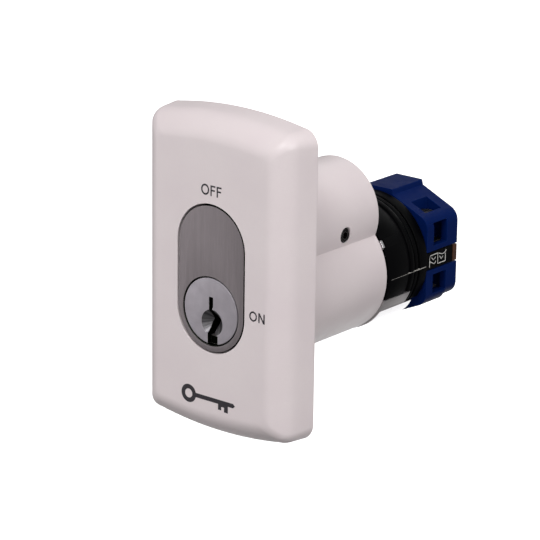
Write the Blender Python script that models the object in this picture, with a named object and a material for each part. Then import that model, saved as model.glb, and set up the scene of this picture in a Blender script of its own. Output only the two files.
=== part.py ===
"""Selector key switch: a wall plate with an oval pin tumbler lock that turns a two-pole contact block.

World axes: +X to the right of someone facing the plate, +Y back through the wall, +Z up.
The origin is on the key plug's axis, in the plane of the plate's rear rim, where the wall begins.
All sizes below are millimetres; meshes are written in metres.
"""

import math

import bmesh
import bpy
from mathutils import Matrix, Vector

MM = 0.001
CLEAR = 0.3          # gap left between two pieces that meet
FAR = 40.0           # reach of a cutter that runs out past the piece it cuts
CUTTER_TWIST = 4.3   # degrees

# Face plate
PLATE_W = 46.6
PLATE_H = 80.7
PLATE_Z = 8.0        # height of the plate's middle above the plug axis
PLATE_CORNER = 4.4
CORNER_LEAST = 0.6
PLATE_CROWN = 2.6    # how far the top and bottom edges bow outwards
PLATE_WALL = 2.2
PLATE_FRONT = -11.2
DRAFT_X = 1.15       # how far the sides lean in before the soft front edge starts
DRAFT_Z = 0.4
EDGE_X = 4.95        # width of the soft front edge at the sides
EDGE_Z = 5.45        # and at the top and bottom
EDGE_DEEP = 5.0
EDGE_POWER = 1.43    # 1 would be a plain quarter ellipse
HOLLOW = ((2.2, 40.0), (2.2, -3.1), (2.9, -6.2))   # inset and place along Y of the hollow behind the front
HOLLOW_FLOOR_INSET = 4.9
BOSS_R = 2.7
BOSS_X = 16.4
BOSS_HEIGHTS = (-21.5, 38.3)

# Oval lock opening and the two-lobe housing
OVAL_R = 10.3
OVAL_RISE = 16.1     # distance between the oval's two centres
LOBE_LOW_R = 16.2
LOBE_UP_R = 13.2
LOBE_UP_Z = 15.4
FLANGE_FRONT = -2.8
SLEEVE_R = 12.3
HOUSING_REAR = 37.5
LIP_FRONT = 27.3
LIP_REAR = 28.8
LIP_R = 8.9
REAR_BORE_R = 13.6
UPPER_BORE_R = 10.9
UPPER_BORE_END = 35.0
GRUB_Y = 24.3
GRUB_Z = 13.5
GRUB_R = 1.6
OPERATOR_SCREW_Y = 34.5

# Lock cylinder
LOCK_R = 10.05
LOCK_FRONT = -11.0
LOCK_REAR = 27.0
PLUG_FACE_R = 8.3
PLUG_R = 6.4
PLUG_BORE_R = 6.6
PLUG_STEP = -9.5
STUB_R = 5.2
STUB_REAR = 28.9
PIN_COUNT = 5
PIN_FIRST = -5.0
PIN_PITCH = 4.0
PIN_R = 1.3
CHAMBER_R = 1.45
PIN_FEET = (1.6, 0.9, 2.3, 1.2, 2.0)   # lower ends of the key pins above the plug axis
SHEAR_BELOW = 6.15
SHEAR_ABOVE = 6.85
DRIVER_TOP = 11.9
SPRING_TOP = 21.6
COVER_Z = 21.9
DIMPLE_R = 3.4
DIMPLE_X = 0.4
DIMPLE_Z = -2.8
CAP_R = 7.2
CAP_REAR = 31.3
TAIL_END = 42.0

# Operator behind the housing
BARREL_R = 13.2
BARREL_BORE_R = 9.7
BARREL_FRONT = 31.9
BARREL_WALL = 46.2
BARREL_REAR = 50.6
COLLAR_R = 16.4
COLLAR_FRONT = 37.9
COLLAR_REAR = 48.8
CHROME_EDGE = -22.6  # the black collar ends here and the chrome shows below it, degrees from +X
FLANGE_R = 16.1
FLANGE_Y = 49.2
ROTOR_R = 9.3
ROTOR_FRONT = 33.5
CAM_LOW = 43.0
CAM_RISE = 2.5       # plunger travel over the quarter turn
CAM_BOSS_R = 3.6
STOP_R = 10.9
DETENT_Y = 38.5
DETENT_BALL_R = 1.0
QUARTER = 90.0

# Chrome tongue under the operator, which covers the two black flanges there
TONGUE_R = 16.5
TONGUE_INNER_R = 15.35
TONGUE_FRONT = 48.0
TONGUE_REAR = 51.2
TONGUE_LEAN = 7.0    # its rear end slants back, by this much over a radius of depth
TONGUE_EDGE = -36.0  # degrees from +X
NOTCH_R = 15.05
NOTCH_EDGE = -34.5

# Contact block
BLOCK_FRONT = 54.5
BLOCK_REAR = 67.4
BLOCK_X = 15.7
BASE_FRONT = 51.0
BASE_REAR = 65.5
BASE_DISC_R = 16.2
STRIP_Z = 2.15
CORE_X = 7.2
CORE_Z = 11.2
CELL_X = 6.2
CELL_LOW = 2.9
CELL_HIGH = 10.2
CELL_FRONT = 56.5
SHOULDER_R = 3.6
SHOULDER_Z = 8.3     # height of the round shoulder's centre
BROW_X = 4.2
BROW_FOOT_Z = 15.65
BROW_Z = 17.0
LOWER_GROW = 0.25    # the lower cover's slopes stand this much further from the strip
LOWER_BROW_Z = 16.65
LOWER_STEP = 0.7     # but its rear end is this much shallower
LOWER_STEP_Y = (62.6, 63.4)
POCKET_DROP = 0.8    # and its terminals sit this much closer to the strip
BLOCK_SCREW_X = 11.5
POLE_Z = 7.0
PLUNGER_R = 1.5
TERMINAL_X = 10.6
TERMINAL_Y = 60.5


def start_clean():
    for old in list(bpy.data.objects):
        bpy.data.objects.remove(old, do_unlink=True)


def paint(name, rgb, roughness, metallic=0.0):
    """A Principled material from a colour given in 0-255 screen values."""
    material = bpy.data.materials.new(name)
    material.use_nodes = True
    shader = material.node_tree.nodes["Principled BSDF"]
    linear = [(c / 255.0) ** 2.2 for c in rgb]
    shader.inputs["Base Color"].default_value = (*linear, 1.0)
    shader.inputs["Roughness"].default_value = roughness
    shader.inputs["Metallic"].default_value = metallic
    return material


def finish_mesh(name, bm, material):
    """Turns millimetre geometry into a linked object with smooth round faces."""
    bmesh.ops.remove_doubles(bm, verts=bm.verts, dist=1e-5)
    bmesh.ops.recalc_face_normals(bm, faces=bm.faces)
    bm.transform(Matrix.Scale(MM, 4))
    mesh = bpy.data.meshes.new(name)
    bm.to_mesh(mesh)
    bm.free()
    mesh.shade_smooth()
    mesh.set_sharp_from_angle(angle=math.radians(35))
    ob = bpy.data.objects.new(name, mesh)
    bpy.context.scene.collection.objects.link(ob)
    if material is None:
        ob.hide_render = True
        ob.display_type = "WIRE"
    else:
        mesh.materials.append(material)
    return ob


def arc(cx, cz, radius, start, end, steps):
    """Points along an arc in the XZ plane, with angles in degrees from +X towards +Z."""
    turns = [math.radians(start + (end - start) * i / steps) for i in range(steps + 1)]
    return [(cx + radius * math.cos(t), cz + radius * math.sin(t)) for t in turns]


def stadium(radius, rise, steps=14):
    """An upright oval: two half circles joined by straight sides."""
    return arc(0, 0, radius, 180, 360, steps) + arc(0, rise, radius, 0, 180, steps)


def rectangle(x0, x1, z0, z1):
    return [(x0, z0), (x1, z0), (x1, z1), (x0, z1)]


def loft(name, sections, material=None):
    """A closed body through outlines of equal length, each given with its place along Y."""
    bm = bmesh.new()
    rings = [[bm.verts.new((x, y, z)) for x, z in outline] for outline, y in sections]
    for near, far in zip(rings, rings[1:]):
        for i in range(len(near)):
            j = (i + 1) % len(near)
            bm.faces.new((near[i], near[j], far[j], far[i]))
    bm.faces.new(rings[0])
    bm.faces.new(rings[-1])
    return finish_mesh(name, bm, material)


def prism(name, outline, y0, y1, material=None):
    return loft(name, [(outline, y0), (outline, y1)], material)


def box(name, x, y, z, material=None):
    """A block between the two limits given for each axis."""
    return prism(name, rectangle(x[0], x[1], z[0], z[1]), y[0], y[1], material)


def turned(name, profile, material=None, centre=(0, 0, 0), axis="Y", steps=40, arc_deg=360.0):
    """Spins a profile of (radius, distance along the axis) pairs about an axis through centre.

    A guide or cutter starts its facets off the axis planes, clear of the edges it would meet there.
    """
    bm = bmesh.new()
    verts = [bm.verts.new((r, 0, along)) for r, along in profile]
    on_axis = profile[0][0] == 0
    loop = verts if on_axis else verts + verts[:1]
    edges = [bm.edges.new(pair) for pair in zip(loop, loop[1:])]
    full = arc_deg == 360.0
    if not full:
        edges = [bm.faces.new(verts)]
    bmesh.ops.spin(
        bm,
        geom=verts + edges if full else edges,
        cent=(0, 0, 0),
        axis=(0, 0, 1),
        angle=math.radians(arc_deg),
        steps=steps,
        use_merge=full,
    )
    turn = {
        "X": Matrix.Rotation(math.radians(90), 4, "Y"),
        "Y": Matrix.Rotation(math.radians(-90), 4, "X"),
        "Z": Matrix.Identity(4),
    }[axis]
    twist = Matrix.Rotation(math.radians(CUTTER_TWIST if material is None else 0.0), 4, "Z")
    bm.transform(Matrix.Translation(Vector(centre)) @ turn @ twist)
    return finish_mesh(name, bm, material)


def rod(name, centre, radius, along, axis="Y", material=None, steps=16):
    """A plain round bar between two distances along its axis."""
    low, high = along
    return turned(name, [(0, low), (radius, low), (radius, high), (0, high)], material, centre, axis, steps)


def combine(ob, other, operation):
    """Adds a Boolean of another solid, which stays in the file as a guide."""
    other.hide_render = True
    other.display_type = "WIRE"
    change = ob.modifiers.new(other.name, "BOOLEAN")
    change.operation = operation
    change.solver = "EXACT"
    change.object = other
    return ob


def cut(ob, *cutters):
    for cutter in cutters:
        combine(ob, cutter, "DIFFERENCE")
    return ob


def add(ob, *others):
    for other in others:
        combine(ob, other, "UNION")
    return ob


def coil(name, centre, radius, wire, length, turns, material, axis="Z", around=8, sides=4):
    """A compression spring: a wire swept along a helix, with flat ends."""
    bm = bmesh.new()
    count = int(turns * around)
    rings = []
    for i in range(count + 1):
        a = 2 * math.pi * i / around
        rise = wire + (length - 2 * wire) * i / count
        middle = Vector((radius * math.cos(a), radius * math.sin(a), rise))
        out = Vector((math.cos(a), math.sin(a), 0))
        ring = []
        for k in range(sides):
            b = 2 * math.pi * (k + 0.5) / sides
            offset = out * math.cos(b) * wire + Vector((0, 0, math.sin(b) * wire))
            ring.append(bm.verts.new(middle + offset))
        rings.append(ring)
    for near, far in zip(rings, rings[1:]):
        for k in range(sides):
            j = (k + 1) % sides
            bm.faces.new((near[k], near[j], far[j], far[k]))
    bm.faces.new(rings[0])
    bm.faces.new(rings[-1])
    if axis == "Y":
        bm.transform(Matrix.Rotation(math.radians(-90), 4, "X"))
    if axis == "X":
        bm.transform(Matrix.Rotation(math.radians(90), 4, "Y"))
    ob = finish_mesh(name, bm, material)
    ob.location = Vector(centre) * MM
    return ob


def place(ob, centre):
    ob.location = Vector(centre) * MM
    return ob


# ---------------------------------------------------------------- face plate


def plate_outline(inset_x, inset_z):
    """The plate seen from the front, shrunk by the insets: straight sides, bowed ends, round corners."""
    half_w = PLATE_W / 2 - inset_x
    half_h = PLATE_H / 2 - inset_z
    corner = max(PLATE_CORNER - (inset_x + inset_z) / 2, CORNER_LEAST)
    reach = half_w - corner

    def bow(x):
        return half_h - PLATE_CROWN * (2 * x / PLATE_W) ** 2

    steps = 8
    across = [reach - 2 * reach * i / steps for i in range(1, steps)]
    middle = bow(reach) - corner
    upper = arc(reach, middle, corner, 0, 90, 5)
    upper += [(x, bow(x)) for x in across]
    upper += arc(-reach, middle, corner, 90, 180, 5)
    lower = [(-x, -z) for x, z in upper]
    return [(x, PLATE_Z + z) for x, z in upper + lower]


def boss_places():
    return [(x, z) for z in BOSS_HEIGHTS for x in (-BOSS_X, BOSS_X)]


def make_face_plate(white):
    sections = [(plate_outline(0, 0), 0.0)]
    rounds = 6
    for i in range(rounds + 1):
        t = math.radians(90 * i / rounds)
        across = 1 - math.cos(t) ** EDGE_POWER
        along = 1 - math.sin(t) ** EDGE_POWER
        outline = plate_outline(DRAFT_X + EDGE_X * across, DRAFT_Z + EDGE_Z * across)
        sections.append((outline, PLATE_FRONT + EDGE_DEEP * along))
    plate = loft("face_plate", sections, white)
    floor = PLATE_FRONT + PLATE_WALL
    hollow = [(plate_outline(inset, inset), y) for inset, y in HOLLOW + ((HOLLOW_FLOOR_INSET, floor),)]
    cut(plate, loft("plate_hollow", hollow))
    cut(plate, prism("plate_opening", stadium(OVAL_R, OVAL_RISE), -FAR, FAR))
    for i, (x, z) in enumerate(boss_places(), 1):
        top = FLANGE_FRONT - CLEAR
        add(plate, rod(f"boss_{i}", (x, 0, z), BOSS_R, (floor - 0.5, top)))
        cut(plate, rod(f"boss_pilot_{i}", (x, 0, z), 1.25, (floor + 0.6, FAR), steps=12))
    return plate


def make_flange_screws(steel):
    head_y = -0.5
    profile = [(0, -8.0), (1.1, -8.0), (1.1, head_y - 1.2), (2.1, head_y - 1.2), (2.1, head_y), (0, head_y)]
    for i, (x, z) in enumerate(boss_places(), 1):
        screw = turned(f"flange_screw_{i}", profile, steel, (x, 0, z), steps=16)
        cut(screw, box(f"flange_slot_{i}", (x - 0.3, x + 0.3), (head_y - 0.5, FAR), (z - 3, z + 3)))


# ------------------------------------------------------------------- housing


def lobes(low_r, up_r):
    """The housing's outline: a large lower lobe and a smaller upper lobe that cross at a crease."""
    crease_z = (low_r**2 - up_r**2 + LOBE_UP_Z**2) / (2 * LOBE_UP_Z)
    low_a = math.degrees(math.asin(crease_z / low_r))
    up_a = math.degrees(math.asin((crease_z - LOBE_UP_Z) / up_r))
    lower = arc(0, 0, low_r, 180 - low_a, 360 + low_a, 28)
    upper = arc(0, LOBE_UP_Z, up_r, up_a, 180 - up_a, 18)
    return lower + upper[1:-1]


def make_housing(white):
    outline = plate_outline(PLATE_WALL + CLEAR, PLATE_WALL + CLEAR)
    flange = prism("housing", outline, FLANGE_FRONT, -CLEAR, white)
    sleeve = prism("housing_sleeve", stadium(SLEEVE_R, OVAL_RISE), -8.7, FLANGE_FRONT + 0.5)
    tube = prism("housing_tube", lobes(LOBE_LOW_R, LOBE_UP_R), -1.0, HOUSING_REAR)
    add(flange, sleeve, tube)
    cut(
        flange,
        prism("lock_bore", stadium(OVAL_R, OVAL_RISE), -FAR, LIP_FRONT),
        prism("lip_bore", stadium(LIP_R, OVAL_RISE), LIP_FRONT - 0.5, LIP_REAR + 0.5),
        rod("operator_bore", (0, 0, 0), REAR_BORE_R, (LIP_REAR, FAR * 2), steps=32),
        rod("upper_bore", (0, 0, LOBE_UP_Z), UPPER_BORE_R, (LIP_REAR + 0.2, UPPER_BORE_END), steps=24),
        rod("grub_bore", (0, GRUB_Y, GRUB_Z), GRUB_R + 0.2, (5, FAR), "X"),
        rod("operator_screw_bore", (0, OPERATOR_SCREW_Y, 0), GRUB_R + 0.2, (-FAR, -5), "Z"),
    )
    for i, (x, z) in enumerate(boss_places(), 1):
        cut(flange, rod(f"flange_hole_{i}", (x, 0, z), 1.4, (-FAR, FAR), steps=12))
        cut(flange, rod(f"flange_seat_{i}", (x, 0, z), 2.4, (-2.0, FAR), steps=16))
    return flange


def make_set_screw(name, tip, end, centre, axis, steel):
    """A headless screw with a hexagon socket in its outer end."""
    away = 1 if end > tip else -1
    cone = tip + 0.6 * away
    profile = [(0, tip), (GRUB_R * 0.5, tip), (GRUB_R, cone), (GRUB_R, end), (0, end)]
    screw = turned(name, profile, steel, centre, axis, steps=16)
    socket = rod(f"{name}_socket", centre, 0.85, (end - 1.2 * away, end + 3 * away), axis, steps=6)
    return cut(screw, socket)


# -------------------------------------------------------------- lock cylinder


def pin_rows():
    return [(i + 1, PIN_FIRST + PIN_PITCH * i) for i in range(PIN_COUNT)]


def make_lock_shell(satin):
    shell = prism("lock_shell", stadium(LOCK_R, OVAL_RISE, 16), LOCK_FRONT, LOCK_REAR, satin)
    cut(
        shell,
        rod("plug_bore", (0, 0, 0), PLUG_BORE_R, (-FAR, FAR), steps=32),
        rod("plug_seat", (0, 0, 0), PLUG_FACE_R + 0.2, (-FAR, PLUG_STEP + CLEAR), steps=40),
        box("cover_slot", (-1.9, 1.9), (-7.6, 13.6), (COVER_Z - CLEAR, FAR)),
    )
    for i, y in pin_rows():
        cut(shell, rod(f"shell_chamber_{i}", (0, y, 0), CHAMBER_R, (4, COVER_Z), "Z", steps=12))
    return shell


def make_chamber_cover(satin):
    top = arc(0, OVAL_RISE, LOCK_R - 0.1, 80.5, 99.5, 4)
    outline = [(-1.65, COVER_Z), (1.65, COVER_Z)] + top
    return prism("chamber_cover", outline, -7.4, 13.4, satin)


def keyway_outline():
    """The key's path through the plug: a thin slot over a wider foot that breaks out below."""
    right = [(0.75, 3.6), (0.75, -5.2), (2.2, -5.9), (2.2, -12.0)]
    left = [(-0.95, -12.0), (-0.95, -3.2), (-0.6, -2.4), (-0.6, 3.6)]
    return right + left


def make_lock_plug(nickel):
    profile = [
        (0, LOCK_FRONT + 0.1),
        (PLUG_FACE_R - 0.25, LOCK_FRONT + 0.1),
        (PLUG_FACE_R, LOCK_FRONT + 0.35),
        (PLUG_FACE_R, PLUG_STEP),
        (PLUG_R, PLUG_STEP),
        (PLUG_R, LOCK_REAR - 0.2),
        (STUB_R, LOCK_REAR - 0.2),
        (STUB_R, STUB_REAR),
        (0, STUB_REAR),
    ]
    plug = turned("lock_plug", profile, nickel, steps=36)
    depth = LOCK_FRONT + DIMPLE_R
    cone = [(0, depth), (DIMPLE_R + 1, LOCK_FRONT - 1), (0, LOCK_FRONT - 1)]
    cut(
        plug,
        prism("keyway", keyway_outline(), -FAR, LOCK_REAR - 4),
        turned("key_dimple", cone, None, (DIMPLE_X, 0, DIMPLE_Z), steps=24),
    )
    for i, y in pin_rows():
        cut(plug, rod(f"plug_chamber_{i}", (0, y, 0), CHAMBER_R, (-1.5, 9), "Z", steps=12))
    return plug


def make_pins(brass, steel):
    for (i, y), foot in zip(pin_rows(), PIN_FEET):
        height = SHEAR_BELOW - foot
        key_pin = [(0, 0), (0.4, 0), (PIN_R, 0.9), (PIN_R, height - 0.15), (PIN_R - 0.2, height), (0, height)]
        place(turned(f"bottom_pin_{i}", key_pin, brass, axis="Z", steps=12), (0, y, foot))
        height = DRIVER_TOP - SHEAR_ABOVE
        driver = [(0, 0), (PIN_R - 0.2, 0), (PIN_R, 0.2), (PIN_R, height), (0, height)]
        place(turned(f"driver_pin_{i}", driver, steel, axis="Z", steps=12), (0, y, SHEAR_ABOVE))
        coil(f"pin_spring_{i}", (0, y, DRIVER_TOP + 0.1), 1.0, 0.16, SPRING_TOP - DRIVER_TOP, 5, steel, around=6)


def make_plug_cap(steel):
    profile = [
        (STUB_R + 0.15, LIP_FRONT),
        (CAP_R, LIP_FRONT),
        (CAP_R, CAP_REAR),
        (3.9, CAP_REAR),
        (3.9, CAP_REAR - 1.1),
        (STUB_R + 0.15, CAP_REAR - 1.1),
    ]
    return turned("plug_cap", profile, steel, steps=28)


def make_tailpiece(steel):
    disc = rod("tailpiece", (0, 0, 0), 4.8, (STUB_REAR + 0.15, STUB_REAR + 1.0), material=steel, steps=24)
    return add(disc, box("tail_bar", (-1.0, 1.0), (STUB_REAR + 0.6, TAIL_END), (-3.5, 3.5)))


# ------------------------------------------------------------------- operator


def make_operator_body(black):
    """Barrel that carries the rotor, with a rear wall for the plungers and a rear flange."""
    profile = [
        (0, BARREL_FRONT),
        (BARREL_R, BARREL_FRONT),
        (BARREL_R, FLANGE_Y),
        (FLANGE_R, FLANGE_Y),
        (FLANGE_R, BARREL_REAR),
        (0, BARREL_REAR),
    ]
    body = turned("operator_body", profile, black, steps=36)
    cut(
        body,
        rod("rotor_bore", (0, 0, 0), BARREL_BORE_R, (-FAR, BARREL_WALL), steps=28),
        rod("ring_groove", (0, 0, 0), 10.4, (32.2, 33.3), steps=28),
        stop_pocket(),
        rod("operator_screw_seat", (0, OPERATOR_SCREW_Y, 0), GRUB_R + 0.2, (-FAR, -11.9), "Z"),
        rod("detent_bore", (0, DETENT_Y, 0), DETENT_BALL_R + 0.15, (-20, -7), "X", steps=12),
        tongue_notch("flange_notch"),
    )
    for side in (-1, 1):
        cut(body, rod(f"plunger_hole_{side}", (0, 0, side * POLE_Z), PLUNGER_R + 0.2, (40, 60), steps=16))
        hole = rod(f"body_screw_hole_{side}", (side * BLOCK_SCREW_X, 0, 0), 1.15, (47.2, 60), steps=12)
        cut(body, hole)
    return body


def tongue_notch(name):
    """The room left in a black flange for the chrome tongue."""
    outer = arc(0, 0, FLANGE_R + 2, 180 - NOTCH_EDGE, 360 + NOTCH_EDGE, 22)
    return prism(name, outer + arc(0, 0, NOTCH_R, 360 + NOTCH_EDGE, 180 - NOTCH_EDGE, 22), 48.9, 60)


def stop_pocket():
    """The quarter-turn pocket that the rotor's stop lug sweeps, with room for the lug's width."""
    outline = arc(0, 0, STOP_R + CLEAR, -9.5, 99.5, 11) + arc(0, 0, 8.0, 99.5, -9.5, 11)
    return prism("stop_pocket", outline, 39.2, 41.8)


def cam_height(degrees):
    """Rise of the cam face, a straight ramp each way from the two plunger stations at rest."""
    from_station = abs((degrees - 90.0 + 90.0) % 180.0 - 90.0)
    return CAM_RISE * from_station / QUARTER


def make_rotor(red):
    bm = bmesh.new()
    steps = 40
    rings = [[], [], [], []]
    for i in range(steps):
        degrees = 360.0 * i / steps
        a = math.radians(degrees)
        face = CAM_LOW + cam_height(degrees)
        for ring, (r, y) in zip(
            rings, ((ROTOR_R, ROTOR_FRONT), (ROTOR_R, face), (CAM_BOSS_R, face), (CAM_BOSS_R, CAM_LOW - 0.4))
        ):
            ring.append(bm.verts.new((r * math.cos(a), y, r * math.sin(a))))
    for near, far in zip(rings, rings[1:]):
        for i in range(steps):
            j = (i + 1) % steps
            bm.faces.new((near[i], near[j], far[j], far[i]))
    bm.faces.new(rings[0])
    bm.faces.new(rings[-1])
    rotor = finish_mesh("rotor_cam", bm, red)
    lug = prism(
        "stop_lug", arc(0, 0, STOP_R, 84.5, 95.5, 3) + arc(0, 0, 8.0, 95.5, 84.5, 3), 39.5, 41.5
    )
    add(rotor, lug)
    cut(rotor, box("tail_slot", (-1.2, 1.2), (0, CAM_LOW - 0.8), (-3.8, 3.8)))
    for i, turn in enumerate((180.0, 270.0), 1):
        a = math.radians(turn)
        reach = ROTOR_R + 0.9
        centre = (reach * math.cos(a), DETENT_Y, reach * math.sin(a))
        cut(rotor, rod(f"detent_notch_{i}", centre, 1.4, (-2.0, 2.0), steps=12))
    return rotor


def make_detent(steel):
    """Ball and spring that click into the rotor's two notches; the ball rides just off the rim."""
    x = -(ROTOR_R + 0.15 + DETENT_BALL_R)
    place(turned("detent_ball", ball_profile(DETENT_BALL_R), steel, axis="X", steps=10), (x, DETENT_Y, 0))
    gap_start = -(BARREL_R - 0.05)
    length = x - DETENT_BALL_R - 0.1 - gap_start
    coil("detent_spring", (gap_start, DETENT_Y, 0), 0.75, 0.14, length, 2.5, steel, "X", 8)


def ball_profile(radius, steps=6):
    turns = [math.radians(-90 + 180 * i / steps) for i in range(steps + 1)]
    profile = [(radius * math.cos(t), radius * math.sin(t)) for t in turns]
    profile[0] = (0, -radius)
    profile[-1] = (0, radius)
    return profile


def make_retaining_ring(steel):
    """An open ring in the barrel's groove, in front of the rotor."""
    profile = [(8.0, 0), (10.2, 0), (10.2, 0.7), (8.0, 0.7)]
    return turned("retaining_ring", profile, steel, (0, 32.4, 0), steps=22, arc_deg=330.0)


def make_chrome_sleeve(chrome):
    """A sleeve round the barrel, full size where it shows below and thinner under the collar."""
    inner_r = COLLAR_R - 1.2
    low = arc(0, 0, COLLAR_R, 180 - CHROME_EDGE, 360 + CHROME_EDGE, 20)
    high = arc(0, 0, inner_r, CHROME_EDGE, 180 - CHROME_EDGE, 28)
    sleeve = prism("chrome_sleeve", low + high, COLLAR_FRONT, COLLAR_REAR, chrome)
    cut(sleeve, rod("sleeve_bore", (0, 0, 0), BARREL_R + CLEAR, (0, 60), steps=36))
    outline = arc(0, 0, TONGUE_R, 180 - TONGUE_EDGE, 360 + TONGUE_EDGE, 20)
    outline += arc(0, 0, TONGUE_INNER_R, 360 + TONGUE_EDGE, 180 - TONGUE_EDGE, 20)
    tongue = prism("sleeve_tongue", outline, TONGUE_FRONT, TONGUE_REAR)
    edge_z = TONGUE_R * math.sin(math.radians(TONGUE_EDGE)) * MM
    for vert in tongue.data.vertices:
        if vert.co.y > (TONGUE_FRONT + TONGUE_REAR) / 2 * MM:
            vert.co.y += TONGUE_LEAN * max(edge_z - vert.co.z, 0) / TONGUE_R
    return add(sleeve, tongue)


def make_collar(black):
    """The C-shaped ribbed collar over the sleeve, open below."""
    start = CHROME_EDGE + 1.0
    end = 180 - start
    inner = arc(0, 0, COLLAR_R - 0.95, end, start, 26)
    rib_y = 47.4
    groove_y = 46.7
    grooved = arc(0, 0, COLLAR_R - 0.45, start, end, 26) + inner
    full = arc(0, 0, COLLAR_R, start, end, 26) + inner
    front = arc(0, 0, COLLAR_R - 0.25, start, end, 26) + inner
    sections = [
        (front, COLLAR_FRONT),
        (full, COLLAR_FRONT + 0.4),
        (full, groove_y - 0.2),
        (grooved, groove_y),
        (grooved, rib_y - 0.2),
        (full, rib_y),
        (full, COLLAR_REAR - 0.1),
    ]
    return loft("operator_collar", sections, black)


# -------------------------------------------------------------- contact block


def make_contact_base(black):
    base = rod("contact_base", (0, 0, 0), BASE_DISC_R, (BASE_FRONT, BLOCK_FRONT - CLEAR), material=black, steps=36)
    start = BLOCK_FRONT - 1.0
    add(
        base,
        box("base_strip", (-BLOCK_X + 0.1, BLOCK_X - 0.1), (BLOCK_FRONT, BASE_REAR), (-STRIP_Z, STRIP_Z)),
        box("base_core", (-CORE_X, CORE_X), (start, BASE_REAR), (-CORE_Z, CORE_Z)),
        box("base_spine", (-CORE_X - 5.2, CORE_X + 5.2), (start, BASE_REAR - 1), (-STRIP_Z, STRIP_Z)),
    )
    cut(base, tongue_notch("disc_notch"))
    for side, slot_y in ((1, 62.0), (-1, 57.9)):
        low, high = sorted((side * CELL_LOW, side * CELL_HIGH))
        slot_low, slot_high = sorted((side * 4.9, side * 8.7))
        cut(
            base,
            box(f"cell_{side}", (-CELL_X, CELL_X), (CELL_FRONT, FAR * 2), (low, high)),
            box(f"contact_slot_{side}", (-CORE_X - 1, CORE_X + 1), (slot_y, FAR * 2), (slot_low, slot_high)),
            rod(f"base_plunger_hole_{side}", (0, 0, side * POLE_Z), PLUNGER_R + 0.2, (45, 60), steps=16),
            rod(f"block_screw_hole_{side}", (side * BLOCK_SCREW_X, 0, 0), 1.15, (45, FAR * 2), steps=12),
            rod(f"block_screw_seat_{side}", (side * BLOCK_SCREW_X, 0, 0), 1.8, (63.4, FAR * 2), steps=16),
        )
    return base


def make_rear_insulator(brown):
    plate = box("rear_insulator", (-BLOCK_X, BLOCK_X), (BASE_REAR + CLEAR, BLOCK_REAR), (-STRIP_Z, STRIP_Z), brown)
    add(plate, box("insulator_core", (-CORE_X, CORE_X), (BASE_REAR + CLEAR, BLOCK_REAR), (-CORE_Z, CORE_Z)))
    for side in (-1, 1):
        cut(plate, rod(f"insulator_hole_{side}", (side * BLOCK_SCREW_X, 0, 0), 1.75, (60, FAR * 2), steps=16))
    return plate


def make_block_screws(steel):
    profile = [(0, 48.4), (0.95, 48.4), (0.95, 63.7), (1.6, 63.7), (1.6, 65.0), (0, 65.0)]
    for i, side in enumerate((-1, 1), 1):
        x = side * BLOCK_SCREW_X
        screw = turned(f"block_screw_{i}", profile, steel, (x, 0, 0), steps=16)
        cut(screw, box(f"block_screw_slot_{i}", (x - 0.25, x + 0.25), (64.5, FAR * 2), (-3, 3)))


def cover_outline(side, grow, brow_z):
    """A terminal cover seen from the front: straight side, round shoulder, slope and raised brow."""
    centre = SHOULDER_Z + grow
    shoulder = arc(BLOCK_X - SHOULDER_R, centre, SHOULDER_R, 10, 66, 5)
    right = [(BLOCK_X, STRIP_Z + CLEAR), (BLOCK_X, centre)] + shoulder
    right += [(BROW_X + 0.3, BROW_FOOT_Z + grow), (BROW_X, brow_z - 0.1), (BROW_X - 0.3, brow_z)]
    left = [(-x, z) for x, z in reversed(right)]
    return [(x, side * z) for x, z in right + left]


def cover_body(name, side, blue):
    if side > 0:
        return prism(name, cover_outline(side, 0.0, BROW_Z), BLOCK_FRONT, BLOCK_REAR, blue)
    deep = cover_outline(side, LOWER_GROW, LOWER_BROW_Z)
    shallow = cover_outline(side, LOWER_GROW - LOWER_STEP, LOWER_BROW_Z)
    step, end = LOWER_STEP_Y
    return loft(name, [(deep, BLOCK_FRONT), (deep, step), (shallow, end), (shallow, BLOCK_REAR)], blue)


def spread(side, low, high):
    """A pair of limits at the given heights above or below the strip."""
    return tuple(sorted((side * low, side * high)))


def make_cover(name, side, blue):
    drop = POCKET_DROP if side < 0 else 0.0
    slot_y = (62.0, 63.4) if side > 0 else (57.9, 59.3)
    cover = cover_body(name, side, blue)
    cut(cover, box(f"{name}_recess", (-CORE_X - CLEAR, CORE_X + CLEAR), (0, 80), spread(side, 0, CORE_Z + CLEAR)))
    for hand in (-1, 1):
        x = sorted((hand * 8.3, hand * 13.9))
        entry_x = sorted((hand * 13.0, hand * 20.0))
        slot_x = sorted((hand * 7.0, hand * 8.8))
        access_x = (hand * TERMINAL_X - 2.3, hand * TERMINAL_X + 2.3)
        cut(
            cover,
            box(f"{name}_pocket_{hand}", x, (56.9, 64.1), spread(side, 3.15, 10.0 - drop)),
            box(f"{name}_entry_{hand}", entry_x, (57.3, 62.9), spread(side, 3.8, 9.7 - drop)),
            box(f"{name}_slot_{hand}", slot_x, slot_y, spread(side, 3.15, 8.9)),
            box(f"{name}_access_{hand}", access_x, (57.2, 63.8), spread(side, 9.0, 20.0)),
        )
    return cover


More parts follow.
